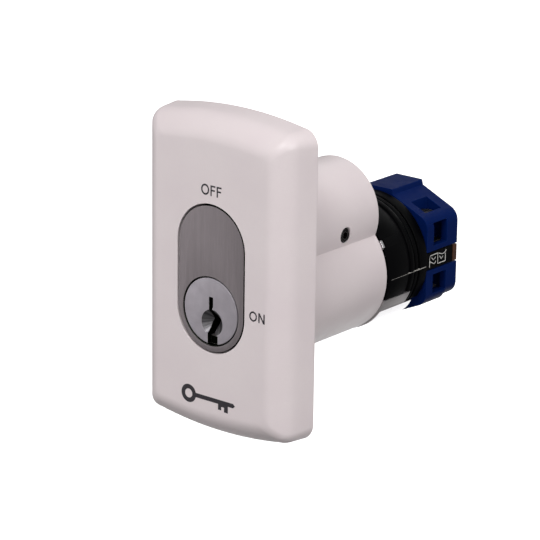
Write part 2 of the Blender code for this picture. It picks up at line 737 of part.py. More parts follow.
def make_terminal(number, side, hand, brass, steel):
    """One screw terminal: the fixed contact with its tapped tab, the wire clamp and the screw."""
    drop = POCKET_DROP if side < 0 else 0.0
    x = hand * TERMINAL_X
    strip_y = (62.3, 63.1) if side > 0 else (58.2, 59.0)
    button_y = (61.85, 62.5) if side > 0 else (58.8, 59.35)
    tab_x = sorted((hand * 8.6, hand * 13.6))
    contact = box(f"fixed_contact_{number}", tab_x, (57.3, 63.7), spread(side, 3.3, 3.9), brass)
    add(
        contact,
        box(f"contact_strip_{number}", sorted((hand * 3.2, hand * 9.3)), strip_y, spread(side, 5.3, 7.9)),
        box(f"contact_riser_{number}", sorted((hand * 8.45, hand * 9.3)), strip_y, spread(side, 3.5, 7.0)),
        rod(f"contact_button_{number}", (hand * 4.5, 0, side * POLE_Z), 1.1, button_y, steps=12),
    )
    cut(contact, rod(f"contact_thread_{number}", (x, TERMINAL_Y, 0), 1.25, (-12, 12), "Z", steps=12))
    clamp = box(
        f"clamp_plate_{number}",
        (x - 2.1, x + 2.1),
        (TERMINAL_Y - 2.5, TERMINAL_Y + 2.5),
        spread(side, 9.15 - drop, 9.75 - drop),
        steel,
    )
    cut(clamp, rod(f"clamp_hole_{number}", (x, TERMINAL_Y, 0), 1.3, (-15, 15), "Z", steps=12))
    seat = 9.9 - drop
    profile = [(0, 3.5), (1.1, 3.5), (1.1, seat), (1.9, seat), (1.9, seat + 1.5), (0, seat + 1.5)]
    screw = turned(
        f"terminal_screw_{number}", [(r, side * z) for r, z in profile], steel, (x, TERMINAL_Y, 0), "Z", 16
    )
    slot = box(
        f"terminal_slot_{number}",
        (x - 0.3, x + 0.3),
        (TERMINAL_Y - 3, TERMINAL_Y + 3),
        spread(side, seat + 0.7, 20),
    )
    cut(screw, slot)


def make_pole(label, side, brass, white, steel):
    """One switching pole: push rod with its carrier, the moving bridge and the return spring."""
    z = side * POLE_Z
    tip = CAM_LOW + 0.25
    bridge_y = 58.0 if side > 0 else 60.0
    profile = [(0, tip), (0.6, tip), (PLUNGER_R, tip + 1.0), (PLUNGER_R, 57.2), (0, 57.2)]
    plunger = turned(f"plunger_{label}", profile, white, (0, 0, z), steps=16)
    add(plunger, box(f"carrier_{label}", (-2.0, 2.0), (56.9, 62.0), (z - 2.4, z + 2.4)))
    window = box(f"window_{label}", (-5, 5), (bridge_y - 0.15, bridge_y + 0.95), (z - 1.7, z + 1.7))
    cut(plunger, window)
    bridge = box(f"bridge_{label}", (-5.7, 5.7), (bridge_y, bridge_y + 0.8), (z - 1.5, z + 1.5), brass)
    button_y = (bridge_y + 0.4, bridge_y + 1.2) if side > 0 else (bridge_y - 0.45, bridge_y + 0.4)
    for hand in (-1, 1):
        add(bridge, rod(f"bridge_button_{label}_{hand}", (hand * 4.5, 0, z), 1.1, button_y, steps=12))
    coil(f"return_spring_{label}", (0, 62.15, z), 1.5, 0.16, 3.45, 3, steel, "Y", 8)


def main():
    start_clean()
    white = paint("white_plastic", (206, 196, 198), 0.35)
    satin = paint("satin_brass_shell", (128, 120, 122), 0.42, 1.0)
    nickel = paint("nickel_plug", (150, 144, 151), 0.3, 1.0)
    chrome = paint("chrome", (190, 190, 194), 0.08, 1.0)
    steel = paint("steel", (150, 150, 152), 0.35, 1.0)
    brass = paint("brass", (181, 150, 92), 0.32, 1.0)
    black = paint("black_plastic", (14, 14, 16), 0.4)
    blue = paint("blue_plastic", (24, 40, 96), 0.42)
    brown = paint("phenolic_board", (92, 56, 34), 0.6)
    red = paint("rotor_plastic", (150, 34, 30), 0.45)
    natural = paint("natural_plastic", (214, 208, 192), 0.45)
    make_face_plate(white)
    make_housing(white)
    make_flange_screws(steel)
    make_set_screw("grub_screw", 10.35, 12.5, (0, GRUB_Y, GRUB_Z), "X", steel)
    make_set_screw("operator_screw", -12.2, -15.6, (0, OPERATOR_SCREW_Y, 0), "Z", steel)
    make_lock_shell(satin)
    make_chamber_cover(satin)
    make_lock_plug(nickel)
    make_pins(brass, steel)
    make_plug_cap(steel)
    make_tailpiece(steel)
    make_operator_body(black)
    make_rotor(red)
    make_detent(steel)
    make_retaining_ring(steel)
    make_chrome_sleeve(chrome)
    make_collar(black)
    make_contact_base(black)
    make_rear_insulator(brown)
    make_block_screws(steel)
    make_cover("upper_cover", 1, blue)
    make_cover("lower_cover", -1, blue)
    corners = [(side, hand) for side in (1, -1) for hand in (-1, 1)]
    for number, (side, hand) in enumerate(corners, 1):
        make_terminal(number, side, hand, brass, steel)
    make_pole("upper", 1, brass, natural, steel)
    make_pole("lower", -1, brass, natural, steel)


main()
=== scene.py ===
from math import asin, cos, degrees, radians, sin, sqrt, tan, tau

import bmesh
import bpy
from mathutils import Matrix, Vector


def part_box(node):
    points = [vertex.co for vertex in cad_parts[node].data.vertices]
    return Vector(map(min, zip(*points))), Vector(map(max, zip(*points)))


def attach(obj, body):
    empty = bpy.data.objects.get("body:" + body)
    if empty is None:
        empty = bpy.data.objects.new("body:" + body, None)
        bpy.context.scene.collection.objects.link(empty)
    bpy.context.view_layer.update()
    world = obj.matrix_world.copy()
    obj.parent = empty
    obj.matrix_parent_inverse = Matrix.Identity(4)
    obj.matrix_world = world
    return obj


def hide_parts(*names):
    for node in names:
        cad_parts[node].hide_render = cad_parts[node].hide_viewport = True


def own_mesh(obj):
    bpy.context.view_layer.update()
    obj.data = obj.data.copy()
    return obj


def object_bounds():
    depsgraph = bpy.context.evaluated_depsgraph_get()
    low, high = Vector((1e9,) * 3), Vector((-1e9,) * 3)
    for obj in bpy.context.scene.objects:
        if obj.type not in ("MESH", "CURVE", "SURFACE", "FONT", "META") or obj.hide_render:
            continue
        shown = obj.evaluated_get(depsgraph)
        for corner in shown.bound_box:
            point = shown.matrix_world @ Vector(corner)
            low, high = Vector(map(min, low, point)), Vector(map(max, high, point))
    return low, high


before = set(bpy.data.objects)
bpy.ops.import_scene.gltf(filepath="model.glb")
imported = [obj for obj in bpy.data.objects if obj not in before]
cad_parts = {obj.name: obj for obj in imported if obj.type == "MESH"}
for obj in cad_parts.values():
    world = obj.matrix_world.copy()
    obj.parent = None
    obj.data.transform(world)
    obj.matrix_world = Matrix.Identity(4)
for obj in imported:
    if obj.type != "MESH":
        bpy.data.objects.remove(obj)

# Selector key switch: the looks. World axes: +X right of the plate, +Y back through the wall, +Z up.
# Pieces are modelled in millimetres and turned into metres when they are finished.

CAD_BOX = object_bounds()
MM = 0.001
FAR = 120.0  # reach of a cutter that runs out past its piece
SHARP = 32.0  # degrees; flatter edges are shaded smooth
CLEAR = 0.3  # gap between moulded pieces


def limits(node):
    """Lowest and highest corner of a CAD node, in millimetres."""
    low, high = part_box(node)
    return low / MM, high / MM


# --- sizes read from the frame

PLATE_LOW, PLATE_HIGH = limits("face_plate")
HOUSING_LOW, HOUSING_HIGH = limits("housing")
SHELL_LOW, SHELL_HIGH = limits("lock_shell")
PLUG_LOW, PLUG_HIGH = limits("lock_plug")
COLLAR_LOW, COLLAR_HIGH = limits("operator_collar")
BODY_LOW, BODY_HIGH = limits("operator_body")
BASE_LOW, BASE_HIGH = limits("contact_base")
COVER_LOW, COVER_HIGH = limits("upper_cover")
UNDER_LOW = limits("lower_cover")[0]
BOARD_LOW, BOARD_HIGH = limits("rear_insulator")

# Face plate
PLATE_Z = (PLATE_LOW.z + PLATE_HIGH.z) / 2
PLATE_W = PLATE_HIGH.x - PLATE_LOW.x
PLATE_H = PLATE_HIGH.z - PLATE_LOW.z
PLATE_FRONT = PLATE_LOW.y + 0.03  # leaves room for the printing
PLATE_CORNER = 4.4
CORNER_LEAST = 2.2
PLATE_CROWN = 2.6  # how far the top and bottom edges bow outwards
PLATE_WALL = 2.2
DRAFT_X = 1.15  # how far the sides lean in before the soft front edge starts
DRAFT_Z = 0.4
EDGE_X = 4.95  # width of the soft front edge at the sides
EDGE_Z = 5.45  # and at the top and bottom
EDGE_DEEP = 5.0
EDGE_POWER = 1.43  # 1 is a plain quarter ellipse; more pulls it in towards a chamfer
EDGE_EASE = 1.5  # the bends at both ends of the edge are eased over this distance
HOLLOW = ((2.2, FAR), (2.2, -3.1), (2.9, -6.2))  # inset and place along Y of the hollow behind the front
HOLLOW_FLOOR_INSET = 4.9
BOSSES = [(x, z) for z in (-21.5, 38.3) for x in (-16.4, 16.4)]  # the plate's four screws

# Lock and housing
LOCK_R = SHELL_HIGH.x
OVAL_RISE = SHELL_HIGH.z - SHELL_LOW.z - 2 * LOCK_R
OVAL_R = LOCK_R + 0.25
OPENING_EXTRA = 0.25
OPENING_SHIFT = (0.12, 0.1)
LOBE_LOW_R = 16.2
LOBE_UP_R = 13.2
LOBE_UP_Z = 15.4
FLANGE_FRONT = -2.8
SLEEVE_R = 12.3
LIP_FRONT = 27.3
LIP_REAR = 28.8
LIP_R = 8.9
REAR_BORE_R = 13.6
GRUB_R = 1.85
GRUB_Y = 24.3
GRUB_Z = 13.5
OPERATOR_SCREW_Y = 34.5
SCREW_SEAT_R = 1.8
UPPER_BORE_R = 10.9
UPPER_BORE_END = 35.0
PLUG_FACE_R = PLUG_HIGH.x
PLUG_STEP = -9.5
PLUG_R = 6.4
STUB_R = 5.2
DIMPLE_R = 3.4
DIMPLE_X = 0.4
DIMPLE_Z = -2.8
PIN_ROWS = [(i + 1, -5.0 + 4.0 * i) for i in range(5)]
CHAMBER_R = 1.45
SPRING_WIRE_R = 0.16
COVER_SLOT_Z = 21.6

# Operator
BARREL_R = 13.2
BARREL_BORE_R = 9.7
FLANGE_Y = 49.2
COLLAR_R = COLLAR_HIGH.x
CHROME_EDGE = -22.6  # degrees from +X; the black collar ends here
POLE_Z = 7.0
BLOCK_SCREW_X = 11.5
BLOCK_SCREW_HOLE_R = 1.15
PLUNGER_HOLE_R = 1.7

# Chrome tongue under the operator, which covers the two black flanges there
TONGUE_R = 16.5
TONGUE_INNER_R = 15.35
TONGUE_REAR = 51.2
TONGUE_LEAN = 7.0  # its rear end slants back, by this much over a radius of depth
TONGUE_EDGE = -35.0  # degrees from +X
TONGUE_PROUD = 0.03  # its bright skin stands this much above the darker, rougher band painted as a grey reflection
NOTCH_R = 15.05
NOTCH_EDGE = -34.5

# Contact block
BLOCK_X = COVER_HIGH.x
BLOCK_FRONT = COVER_LOW.y
BLOCK_REAR = COVER_HIGH.y
STRIP_Z = 2.15
STRIP_X = BLOCK_X - 0.1
CORE_X = 7.2
CORE_Z = 11.2
SHOULDER_R = 3.6
SHOULDER_Z = 8.3  # height of the round shoulder's centre
BROW_X = 4.2
BROW_FOOT_Z = 15.65
LOWER_GROW = 0.25  # the lower cover's slopes stand this much further from the strip
LOWER_STEP = 0.7  # but its rear end is this much shallower
LOWER_STEP_Y = (62.6, 63.4)
POCKET_DROP = 0.8
TERMINAL_X = 10.6
TERMINAL_Y = 60.5
CORNERS = [(side, hand) for side in (1, -1) for hand in (-1, 1)]

# Printing
PRINT_THICK = 0.05  # most of it sunk in the surface
PRINT_PROUD = 0.02
PRINT_BACK = PLATE_FRONT - PRINT_PROUD + PRINT_THICK
KEY_MARK_X = -6.6
KEY_MARK_Z = PLATE_LOW.z + 10.15
ACROSS = Vector((1, 0, 0))
UP = Vector((0, 0, 1))


# --- mesh tools


def finish_mesh(name, bm, *materials):
    """Turns millimetre geometry into a linked object in metres, smooth where it is round."""
    bmesh.ops.remove_doubles(bm, verts=bm.verts, dist=1e-4)
    bmesh.ops.recalc_face_normals(bm, faces=bm.faces)
    bm.transform(Matrix.Scale(MM, 4))
    mesh = bpy.data.meshes.new(name)
    bm.to_mesh(mesh)
    bm.free()
    mesh.shade_smooth()
    mesh.set_sharp_from_angle(angle=radians(SHARP))
    for material in materials:
        mesh.materials.append(material)
    ob = bpy.data.objects.new(name, mesh)
    bpy.context.scene.collection.objects.link(ob)
    return ob


def settle(ob):
    """Makes an object's modifiers part of its mesh."""
    graph = bpy.context.evaluated_depsgraph_get()
    mesh = bpy.data.meshes.new_from_object(ob.evaluated_get(graph))
    ob.modifiers.clear()
    ob.data = mesh


def combine(ob, others, operation):
    for other in others:
        change = ob.modifiers.new(other.name, "BOOLEAN")
        change.operation = operation
        change.solver = "EXACT"
        change.material_mode = "TRANSFER"
        change.object = other
    settle(ob)
    for other in others:
        bpy.data.objects.remove(other)
    ob.data.set_sharp_from_angle(angle=radians(SHARP))


def cut(ob, *cutters):
    combine(ob, cutters, "DIFFERENCE")


def add(ob, *others):
    combine(ob, others, "UNION")


def soften(ob, width, steps=3):
    """Rounds the hard edges of a finished shape."""
    change = ob.modifiers.new("soft edges", "BEVEL")
    change.width = width * MM
    change.segments = steps
    change.limit_method = "ANGLE"
    change.angle_limit = radians(SHARP)
    change.harden_normals = True
    change.miter_outer = "MITER_ARC"
    settle(ob)


def arc(cx, cz, radius, start, end, steps):
    """Points along an arc, with angles in degrees from +X towards +Z."""
    turns = [radians(start + (end - start) * i / steps) for i in range(steps + 1)]
    return [(cx + radius * cos(t), cz + radius * sin(t)) for t in turns]


def oval(cx, cz, half_w, half_h, steps=48):
    """Points round an ellipse."""
    turns = [tau * i / steps for i in range(steps)]
    return [(cx + half_w * cos(t), cz + half_h * sin(t)) for t in turns]


def stadium(radius):
    """The upright oval of the lock: two half circles joined by straight sides."""
    return arc(0, 0, radius, 180, 360, 40) + arc(0, OVAL_RISE, radius, 0, 180, 40)


def rectangle(x0, x1, z0, z1):
    return [(x0, z0), (x1, z0), (x1, z1), (x0, z1)]


def fillet(points, radius, steps=4, closed=True):
    """Rounds the corners of an outline or profile."""
    smooth = []
    for i, point in enumerate(points):
        here = Vector(point)
        back = Vector(points[i - 1]) - here
        ahead = Vector(points[(i + 1) % len(points)]) - here
        end = not closed and i in (0, len(points) - 1)
        if end or back.angle(ahead) > radians(160):
            smooth.append(tuple(here))
            continue
        reach = min(radius / tan(back.angle(ahead) / 2), back.length * 0.45, ahead.length * 0.45)
        start = here + back.normalized() * reach
        stop = here + ahead.normalized() * reach
        for k in range(steps + 1):
            t = k / steps
            smooth.append(tuple((1 - t) ** 2 * start + 2 * t * (1 - t) * here + t * t * stop))
    return smooth


def stitch(bm, rings):
    """Joins rings of equal length, each to the next, with quads."""
    for near, far in zip(rings, rings[1:]):
        for i in range(len(near)):
            j = (i + 1) % len(near)
            bm.faces.new((near[i], near[j], far[j], far[i]))


def skinned(name, rings, *materials):
    """A closed body through rings of points, capped at both ends."""
    bm = bmesh.new()
    rings = [[bm.verts.new(point) for point in ring] for ring in rings]
    stitch(bm, rings)
    bm.faces.new(rings[0])
    bm.faces.new(rings[-1])
    return finish_mesh(name, bm, *materials)


def loft(name, sections, *materials):
    """A closed body through outlines of equal length, each given with its place along Y."""
    return skinned(name, [[(x, y, z) for x, z in outline] for outline, y in sections], *materials)


def prism(name, outline, y0, y1, *materials):
    return loft(name, [(outline, y0), (outline, y1)], *materials)


def block(name, x, y, z, *materials):
    """A block between the two limits given for each axis."""
    return prism(name, rectangle(x[0], x[1], z[0], z[1]), y[0], y[1], *materials)


def stand(centre, axis):
    """Turns what is made along Z to lie along the axis, and moves it to its centre."""
    turn, about = {"X": (90, "Y"), "Y": (-90, "X"), "Z": (0, "Z")}[axis]
    return Matrix.Translation(Vector(centre)) @ Matrix.Rotation(radians(turn), 4, about)


def turned(name, profile, *materials, centre=(0, 0, 0), axis="Y", steps=96, radius=0.0):
    """Spins a profile of (radius, distance along the axis) pairs; radius rounds its corners."""
    on_axis = profile[0][0] == 0
    if radius:
        profile = fillet(profile, radius, closed=not on_axis)
    bm = bmesh.new()
    verts = [bm.verts.new((r, 0, along)) for r, along in profile]
    loop = verts if on_axis else verts + verts[:1]
    edges = [bm.edges.new(pair) for pair in zip(loop, loop[1:])]
    bmesh.ops.spin(
        bm, geom=verts + edges, cent=(0, 0, 0), axis=(0, 0, 1), angle=tau, steps=steps, use_merge=True
    )
    bm.transform(stand(centre, axis))
    return finish_mesh(name, bm, *materials)


def rod(name, radius, along, centre=(0, 0, 0), axis="Y", steps=48):
    """A plain round bar between two distances along its axis."""
    low, high = sorted(along)
    profile = [(0, low), (radius, low), (radius, high), (0, high)]
    return turned(name, profile, centre=centre, axis=axis, steps=steps)


def spread(side, low, high):
    """A pair of limits at the given distances on one side."""
    return tuple(sorted((side * low, side * high)))


def piece(ob, slot, *nodes, body="switch_body"):
    """Puts a finished object on its CAD body in place of the nodes it stands for."""
    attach(ob, body)
    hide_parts(*nodes)


# --- materials


class Surface:
    """A Principled material under construction, with texture coordinates in millimetres."""

    def __init__(self, name, metallic=0.0, specular=0.5):
        self.material = bpy.data.materials.new(name)
        self.material.use_nodes = True
        self.tree = self.material.node_tree
        self.shader = self.tree.nodes["Principled BSDF"]
        self.shader.inputs["Metallic"].default_value = metallic
        self.shader.inputs["Specular IOR Level"].default_value = specular
        grid = self.node("ShaderNodeTexCoord")
        self.place = self.vector_math("MULTIPLY", grid.outputs["Object"], (1 / MM, 1 / MM, 1 / MM))
        self.height = None

    def node(self, kind, **settings):
        made = self.tree.nodes.new(kind)
        for key, value in settings.items():
            setattr(made, key, value)
        return made

    def feed(self, socket, value):
        if isinstance(value, bpy.types.NodeSocket):
            self.tree.links.new(value, socket)
        else:
            socket.default_value = value

    def math(self, operation, a, b, output=0, **settings):
        made = self.node(settings.pop("kind", "ShaderNodeMath"), operation=operation, **settings)
        self.feed(made.inputs[0], a)
        self.feed(made.inputs[1], b)
        return made.outputs[output]

    def vector_math(self, operation, a, b, output=0):
        return self.math(operation, a, b, output, kind="ShaderNodeVectorMath")

    def noise(self, scale, detail=2.0, stretch=(1, 1, 1), place=None, sharp=0.5):
        """Noise of about scale features per millimetre, stretched by unequal factors."""
        made = self.node("ShaderNodeTexNoise")
        self.feed(made.inputs["Vector"], self.vector_math("MULTIPLY", place or self.place, stretch))
        for key, number in (("Scale", scale), ("Detail", detail), ("Roughness", sharp)):
            made.inputs[key].default_value = number
        return made.outputs["Fac"]

    def remap(self, value, low, high, to_low=0.0, to_high=1.0):
        made = self.node("ShaderNodeMapRange")
        self.feed(made.inputs["Value"], value)
        set_range(made, low, high, to_low, to_high)
        return made.outputs["Result"]

    def mix(self, amount, a, b):
        """Blends two colours, each a socket or a 0-255 screen colour."""
        made = self.node("ShaderNodeMix", data_type="RGBA")
        for index, value in ((0, amount), (6, a), (7, b)):
            self.feed(made.inputs[index], tint(*value) if isinstance(value, tuple) else value)
        return made.outputs[2]

    def edges(self, radius):
        """1 on corners worn within that radius, 0 on open faces."""
        bevel = self.node("ShaderNodeBevel", samples=4)
        bevel.inputs["Radius"].default_value = radius * MM
        flat = self.node("ShaderNodeNewGeometry")
        match = self.vector_math("DOT_PRODUCT", bevel.outputs["Normal"], flat.outputs["Normal"], "Value")
        return self.remap(match, 0.99, 0.8)

    def worn(self, body, radius, amount, colour):
        """The body's colour, rubbed towards another on its corners."""
        return self.mix(self.math("MULTIPLY", self.edges(radius), amount), body, colour)

    def bump(self, height, depth, strength=1.0):
        """Adds relief of that depth in millimetres on top of what is there."""
        made = self.node("ShaderNodeBump")
        made.inputs["Strength"].default_value = strength
        made.inputs["Distance"].default_value = depth * MM
        self.feed(made.inputs["Height"], height)
        if self.height is not None:
            self.feed(made.inputs["Normal"], self.height)
        self.height = made.outputs["Normal"]

    def done(self, colour, rough):
        self.feed(self.shader.inputs["Base Color"], colour)
        self.feed(self.shader.inputs["Roughness"], rough)
        if self.height is not None:
            self.feed(self.shader.inputs["Normal"], self.height)
        return self.material


def tint(red, green, blue):
    """A linear colour from 0-255 screen values."""
    return (*[(c / 255.0) ** 2.2 for c in (red, green, blue)], 1.0)


def set_range(node, *numbers):
    """Sets a Map Range node's two limits in and two limits out."""
    for key, number in zip(("From Min", "From Max", "To Min", "To Max"), numbers):
        node.inputs[key].default_value = number


def moulded(name, colour, other, rubbed, rough, grain=3.0, grain_depth=0.006, specular=0.5):
    """Moulded plastic: clouded colour, spark-eroded grain, slight sink, rubbed edges."""
    s = Surface(name, specular=specular)
    clouds = s.remap(s.noise(0.07, 3.0), 0.3, 0.7)
    specks = s.remap(s.noise(2.2, 2.0), 0.35, 0.75, 0.0, 0.35)
    body = s.mix(specks, s.mix(clouds, colour, other), other)
    wear = s.math("MULTIPLY", s.edges(0.45), s.remap(s.noise(0.5, 4.0), 0.35, 0.65, 0.2, 0.35))
    s.bump(s.noise(0.09, 2.0), 0.05, 0.35)
    s.bump(s.noise(grain, 3.0, sharp=0.6), grain_depth)
    patches = s.remap(s.noise(0.35, 4.0), 0.3, 0.7, rough - 0.05, rough + 0.06)
    polish = s.math("SUBTRACT", patches, s.math("MULTIPLY", wear, 0.15), use_clamp=True)
    return s.done(s.mix(wear, body, rubbed), polish)


def brushed(name, colour, other, rough, stretch, scratch=0.5):
    """Metal with long fine brush lines along the axis that stretch leaves short."""
    s = Surface(name, metallic=1.0)
    lines = s.noise(7.0, 3.0, stretch, sharp=0.75)
    broad = s.noise(1.6, 2.0, stretch)
    body = s.mix(s.remap(broad, 0.3, 0.7), colour, other)
    body = s.mix(s.remap(lines, 0.3, 0.75, 0.0, scratch), body, other)
    s.bump(lines, 0.004)
    s.bump(s.noise(0.12, 2.0), 0.03, 0.3)
    body = s.worn(body, 0.2, 0.5, (236, 232, 232))
    return s.done(body, s.remap(lines, 0.25, 0.75, rough - 0.08, rough + 0.1))


def lathed(name, colour, other, rough):
    """Metal turned about the plug's axis: fine rings, hazy patches and a few scratches."""
    s = Surface(name, metallic=1.0)
    wave = s.node("ShaderNodeTexWave", wave_type="RINGS", rings_direction="Y", wave_profile="SIN")
    s.feed(wave.inputs["Vector"], s.place)
    for key, number in (("Scale", 5.0), ("Distortion", 1.2), ("Detail", 2.0)):
        wave.inputs[key].default_value = number
    haze = s.remap(s.noise(0.35, 4.0), 0.3, 0.7)
    scuffs = s.remap(s.noise(1.4, 5.0, (1, 1, 0.12), sharp=0.7), 0.56, 0.72, 0.0, 0.6)
    body = s.mix(haze, colour, other)
    body = s.mix(s.math("MULTIPLY", scuffs, 0.4), body, (200, 196, 198))
    body = s.worn(body, 0.2, 0.6, (240, 236, 236))
    s.bump(wave.outputs["Fac"], 0.002)
    s.bump(scuffs, 0.002, 0.5)
    return s.done(body, s.remap(haze, 0.0, 1.0, rough - 0.05, rough + 0.06))


def countersunk(name, colour, light, rough):
    """The key dimple: rays of painted reflection, lighter and darker, that run out from its own centre, over
    fine radial machining marks in the bump.
    """
    s = Surface(name, metallic=1.0)
    axes = s.node("ShaderNodeSeparateXYZ")
    s.feed(axes.inputs[0], s.vector_math("SUBTRACT", s.place, (DIMPLE_X, 0.0, DIMPLE_Z)))
    ray = s.node("ShaderNodeCombineXYZ")
    s.feed(ray.inputs[0], s.math("ARCTAN2", axes.outputs["Z"], axes.outputs["X"]))
    painted_reflection_rays = s.noise(2.6, 3.0, place=ray.outputs[0], sharp=0.7)
    s.bump(s.noise(9.0, 2.0, place=ray.outputs[0]), 0.01)
    body = s.mix(s.remap(painted_reflection_rays, 0.4, 0.62), colour, light)
    return s.done(body, s.remap(painted_reflection_rays, 0.3, 0.7, rough - 0.08, rough + 0.08))


def mirror(name, colour, rough):
    """Chrome plate: nearly clean, with faint smears, pinpricks and a slow ripple."""
    s = Surface(name, metallic=1.0)
    smear = s.remap(s.noise(0.22, 4.0, (1, 0.3, 1)), 0.4, 0.7)
    pits = s.remap(s.noise(2.4, 1.0), 0.7, 0.78)
    body = s.mix(s.math("MULTIPLY", smear, 0.2), colour, (178, 176, 178))
    body = s.mix(s.math("MULTIPLY", pits, 0.5), body, (90, 88, 88))
    s.bump(s.noise(0.08, 2.0), 0.03, 0.25)
    s.bump(pits, 0.004, 0.6)
    return s.done(body, s.remap(smear, 0.0, 1.0, rough, rough + 0.09))


def bare_metal(name, colour, other, rough):
    """Plated or drawn metal for screws, pins and springs: tool marks, tarnish and rubbed corners."""
    s = Surface(name, metallic=1.0)
    tarnish = s.remap(s.noise(0.9, 4.0), 0.35, 0.7)
    s.bump(s.noise(5.0, 3.0, (1, 0.25, 1), sharp=0.7), 0.004)
    body = s.worn(s.mix(tarnish, colour, other), 0.15, 0.5, (238, 234, 226))
    return s.done(body, s.remap(tarnish, 0.0, 1.0, rough, rough + 0.18))


def laminate(name, colour, other, fleck):
    """Phenolic board: thin brown paper layers across its thickness, with flecks of fibre."""
    s = Surface(name)
    layers = s.noise(4.0, 2.0, (0.15, 3.0, 0.15))
    fibre = s.remap(s.noise(1.6, 4.0, (3.0, 1.0, 0.4)), 0.45, 0.7)
    body = s.mix(s.remap(layers, 0.3, 0.7), colour, other)
    body = s.mix(s.math("MULTIPLY", fibre, 0.4), body, fleck)
    s.bump(layers, 0.03)
    s.bump(fibre, 0.01)
    return s.done(body, s.remap(fibre, 0.0, 1.0, 0.45, 0.62))


def ink(name, colour, gap):
    """Screen-printed ink: a matt film that thins out in tiny specks."""
    s = Surface(name)
    thin = s.remap(s.noise(7.0, 3.0), 0.55, 0.8, 0.0, 0.5)
    s.bump(s.noise(9.0, 2.0), 0.003)
    return s.done(s.mix(thin, colour, gap), s.remap(thin, 0.0, 0.5, 0.42, 0.6))


def make_materials():
    """Every finish by its short name; plastics have a grain and its depth, then their gloss."""
    white = ((228, 217, 218), (223, 211, 213), (240, 232, 232))
    black = ((11, 11, 13), (7, 7, 9), (30, 29, 33))
    blue = ((13, 34, 84), (11, 29, 75), (22, 46, 102))
    red = ((156, 36, 30), (128, 26, 24), (186, 70, 60))
    natural = ((216, 209, 192), (204, 196, 176), (232, 228, 214))
    return {
        "white": moulded("white_abs", *white, 0.36, 2.6, 0.005, 0.4),
        "black": moulded("black_moulding", *black, 0.42, 3.0, 0.008, 0.05),
        "blue": moulded("blue_moulding", *blue, 0.45, 2.4, 0.008, 0.035),
        "red": moulded("red_moulding", *red, 0.45),
        "natural": moulded("natural_moulding", *natural, 0.42),
        "shell": brushed("brushed_shell", (152, 144, 147), (146, 138, 141), 0.6, (1, 1, 0.03), 0.25),
        # painted reflection: a darker, rougher copy of the chrome, standing in for the grey the sleeve
        # reflects beside the collar
        "satin": brushed("chrome_painted_grey_reflection", (204, 199, 200), (196, 191, 192), 0.55, (1, 0.04, 1)),
        "plug": lathed("plug_nickel", (183, 177, 184), (176, 170, 177), 0.54),
        # painted reflection: the dimple's light and dark radial rays stand in for how its cone reflects
        "dimple": countersunk("dimple_painted_reflection", (84, 82, 86), (142, 140, 142), 0.44),
        "chrome": mirror("chrome_plate", (226, 224, 226), 0.05),
        "steel": bare_metal("plated_steel", (168, 166, 166), (132, 130, 130), 0.28),
        "dull": bare_metal("dull_steel", (66, 67, 74), (44, 44, 50), 0.42),
        # painted shade: a near-black metal put on the lock's gap walls, the plug seat and the keyway, where
        # shade falls
        "shade": bare_metal("painted_shade_metal", (30, 33, 27), (17, 19, 15), 0.6),
        "oxide": bare_metal("black_oxide", (52, 50, 52), (30, 28, 30), 0.34),
        "brass": bare_metal("brass_stock", (196, 160, 92), (160, 124, 70), 0.3),
        "board": laminate("phenolic_board_brown", (74, 43, 26), (50, 28, 17), (104, 66, 40)),
        "black_ink": ink("black_ink", (32, 25, 34), (96, 88, 94)),
        # painted highlight: the pale colour of the thin ridge along the operator's parting line
        "seam": ink("seam_painted_highlight", (168, 165, 160), (110, 108, 106)),
        "white_ink": ink("white_ink", (222, 220, 216), (150, 150, 150)),
    }


# --- face plate


def plate_outline(inset_x, inset_z):
    """The plate from the front, shrunk by the insets: straight sides, bowed ends, round corners."""
    half_w = PLATE_W / 2 - inset_x
    half_h = PLATE_H / 2 - inset_z
    corner = max(PLATE_CORNER - (inset_x + inset_z) / 2, CORNER_LEAST)
    reach = half_w - corner

    def bow(x):
        return half_h - PLATE_CROWN * (2 * x / PLATE_W) ** 2

    steps = 40
    across = [reach - 2 * reach * i / steps for i in range(1, steps)]
    middle = bow(reach) - corner
    upper = arc(reach, middle, corner, 0, 90, 20)
    upper += [(x, bow(x)) for x in across]
    upper += arc(-reach, middle, corner, 90, 180, 20)
    lower = [(-x, -z) for x, z in upper]
    return [(x, PLATE_Z + z) for x, z in upper + lower]


def relaxed(points, reach, spacing, kept):
    """A profile whose bends are eased over that reach, thinned to every kept-th sample."""
    dense = [Vector(points[0])]
    for start, stop in zip(points, points[1:]):
        a, b = Vector(start), Vector(stop)
        count = max(int((b - a).length / spacing), 1)
        dense += [a.lerp(b, i / count) for i in range(1, count + 1)]
    window = int(reach / spacing)
    eased = [dense[0]]
    for i in range(kept, len(dense) - kept, kept):
        half = min(window, i, len(dense) - 1 - i)
        near = dense[i - half : i + half + 1]
        eased.append(sum(near, Vector((0, 0, 0))) / len(near))
    return eased + [dense[-1]]


def plate_profile():
    """Insets and place along Y from the rear rim to the flat front: drafted sides, then a deep soft edge."""
    rim = 0.3
    back = [(rim, rim, 0.0), (rim * 0.3, rim * 0.3, -rim * 0.3), (rim * 0.15, rim * 0.08, -rim)]
    side = [back[-1]]
    steps = 60
    for i in range(steps + 1):
        t = radians(90 * i / steps)
        across = 1 - cos(t) ** EDGE_POWER
        along = 1 - sin(t) ** EDGE_POWER
        side.append((DRAFT_X + EDGE_X * across, DRAFT_Z + EDGE_Z * across, PLATE_FRONT + EDGE_DEEP * along))
    side.append((DRAFT_X + EDGE_X + EDGE_EASE * 2, DRAFT_Z + EDGE_Z + EDGE_EASE * 2, PLATE_FRONT))
    return back[:-1] + relaxed(side, EDGE_EASE, 0.05, 8)


def plate_opening():
    """The oval hole in the plate, a little wide of the lock, more so above it and on its right."""
    return [(x + OPENING_SHIFT[0], z + OPENING_SHIFT[1]) for x, z in stadium(OVAL_R + OPENING_EXTRA)]


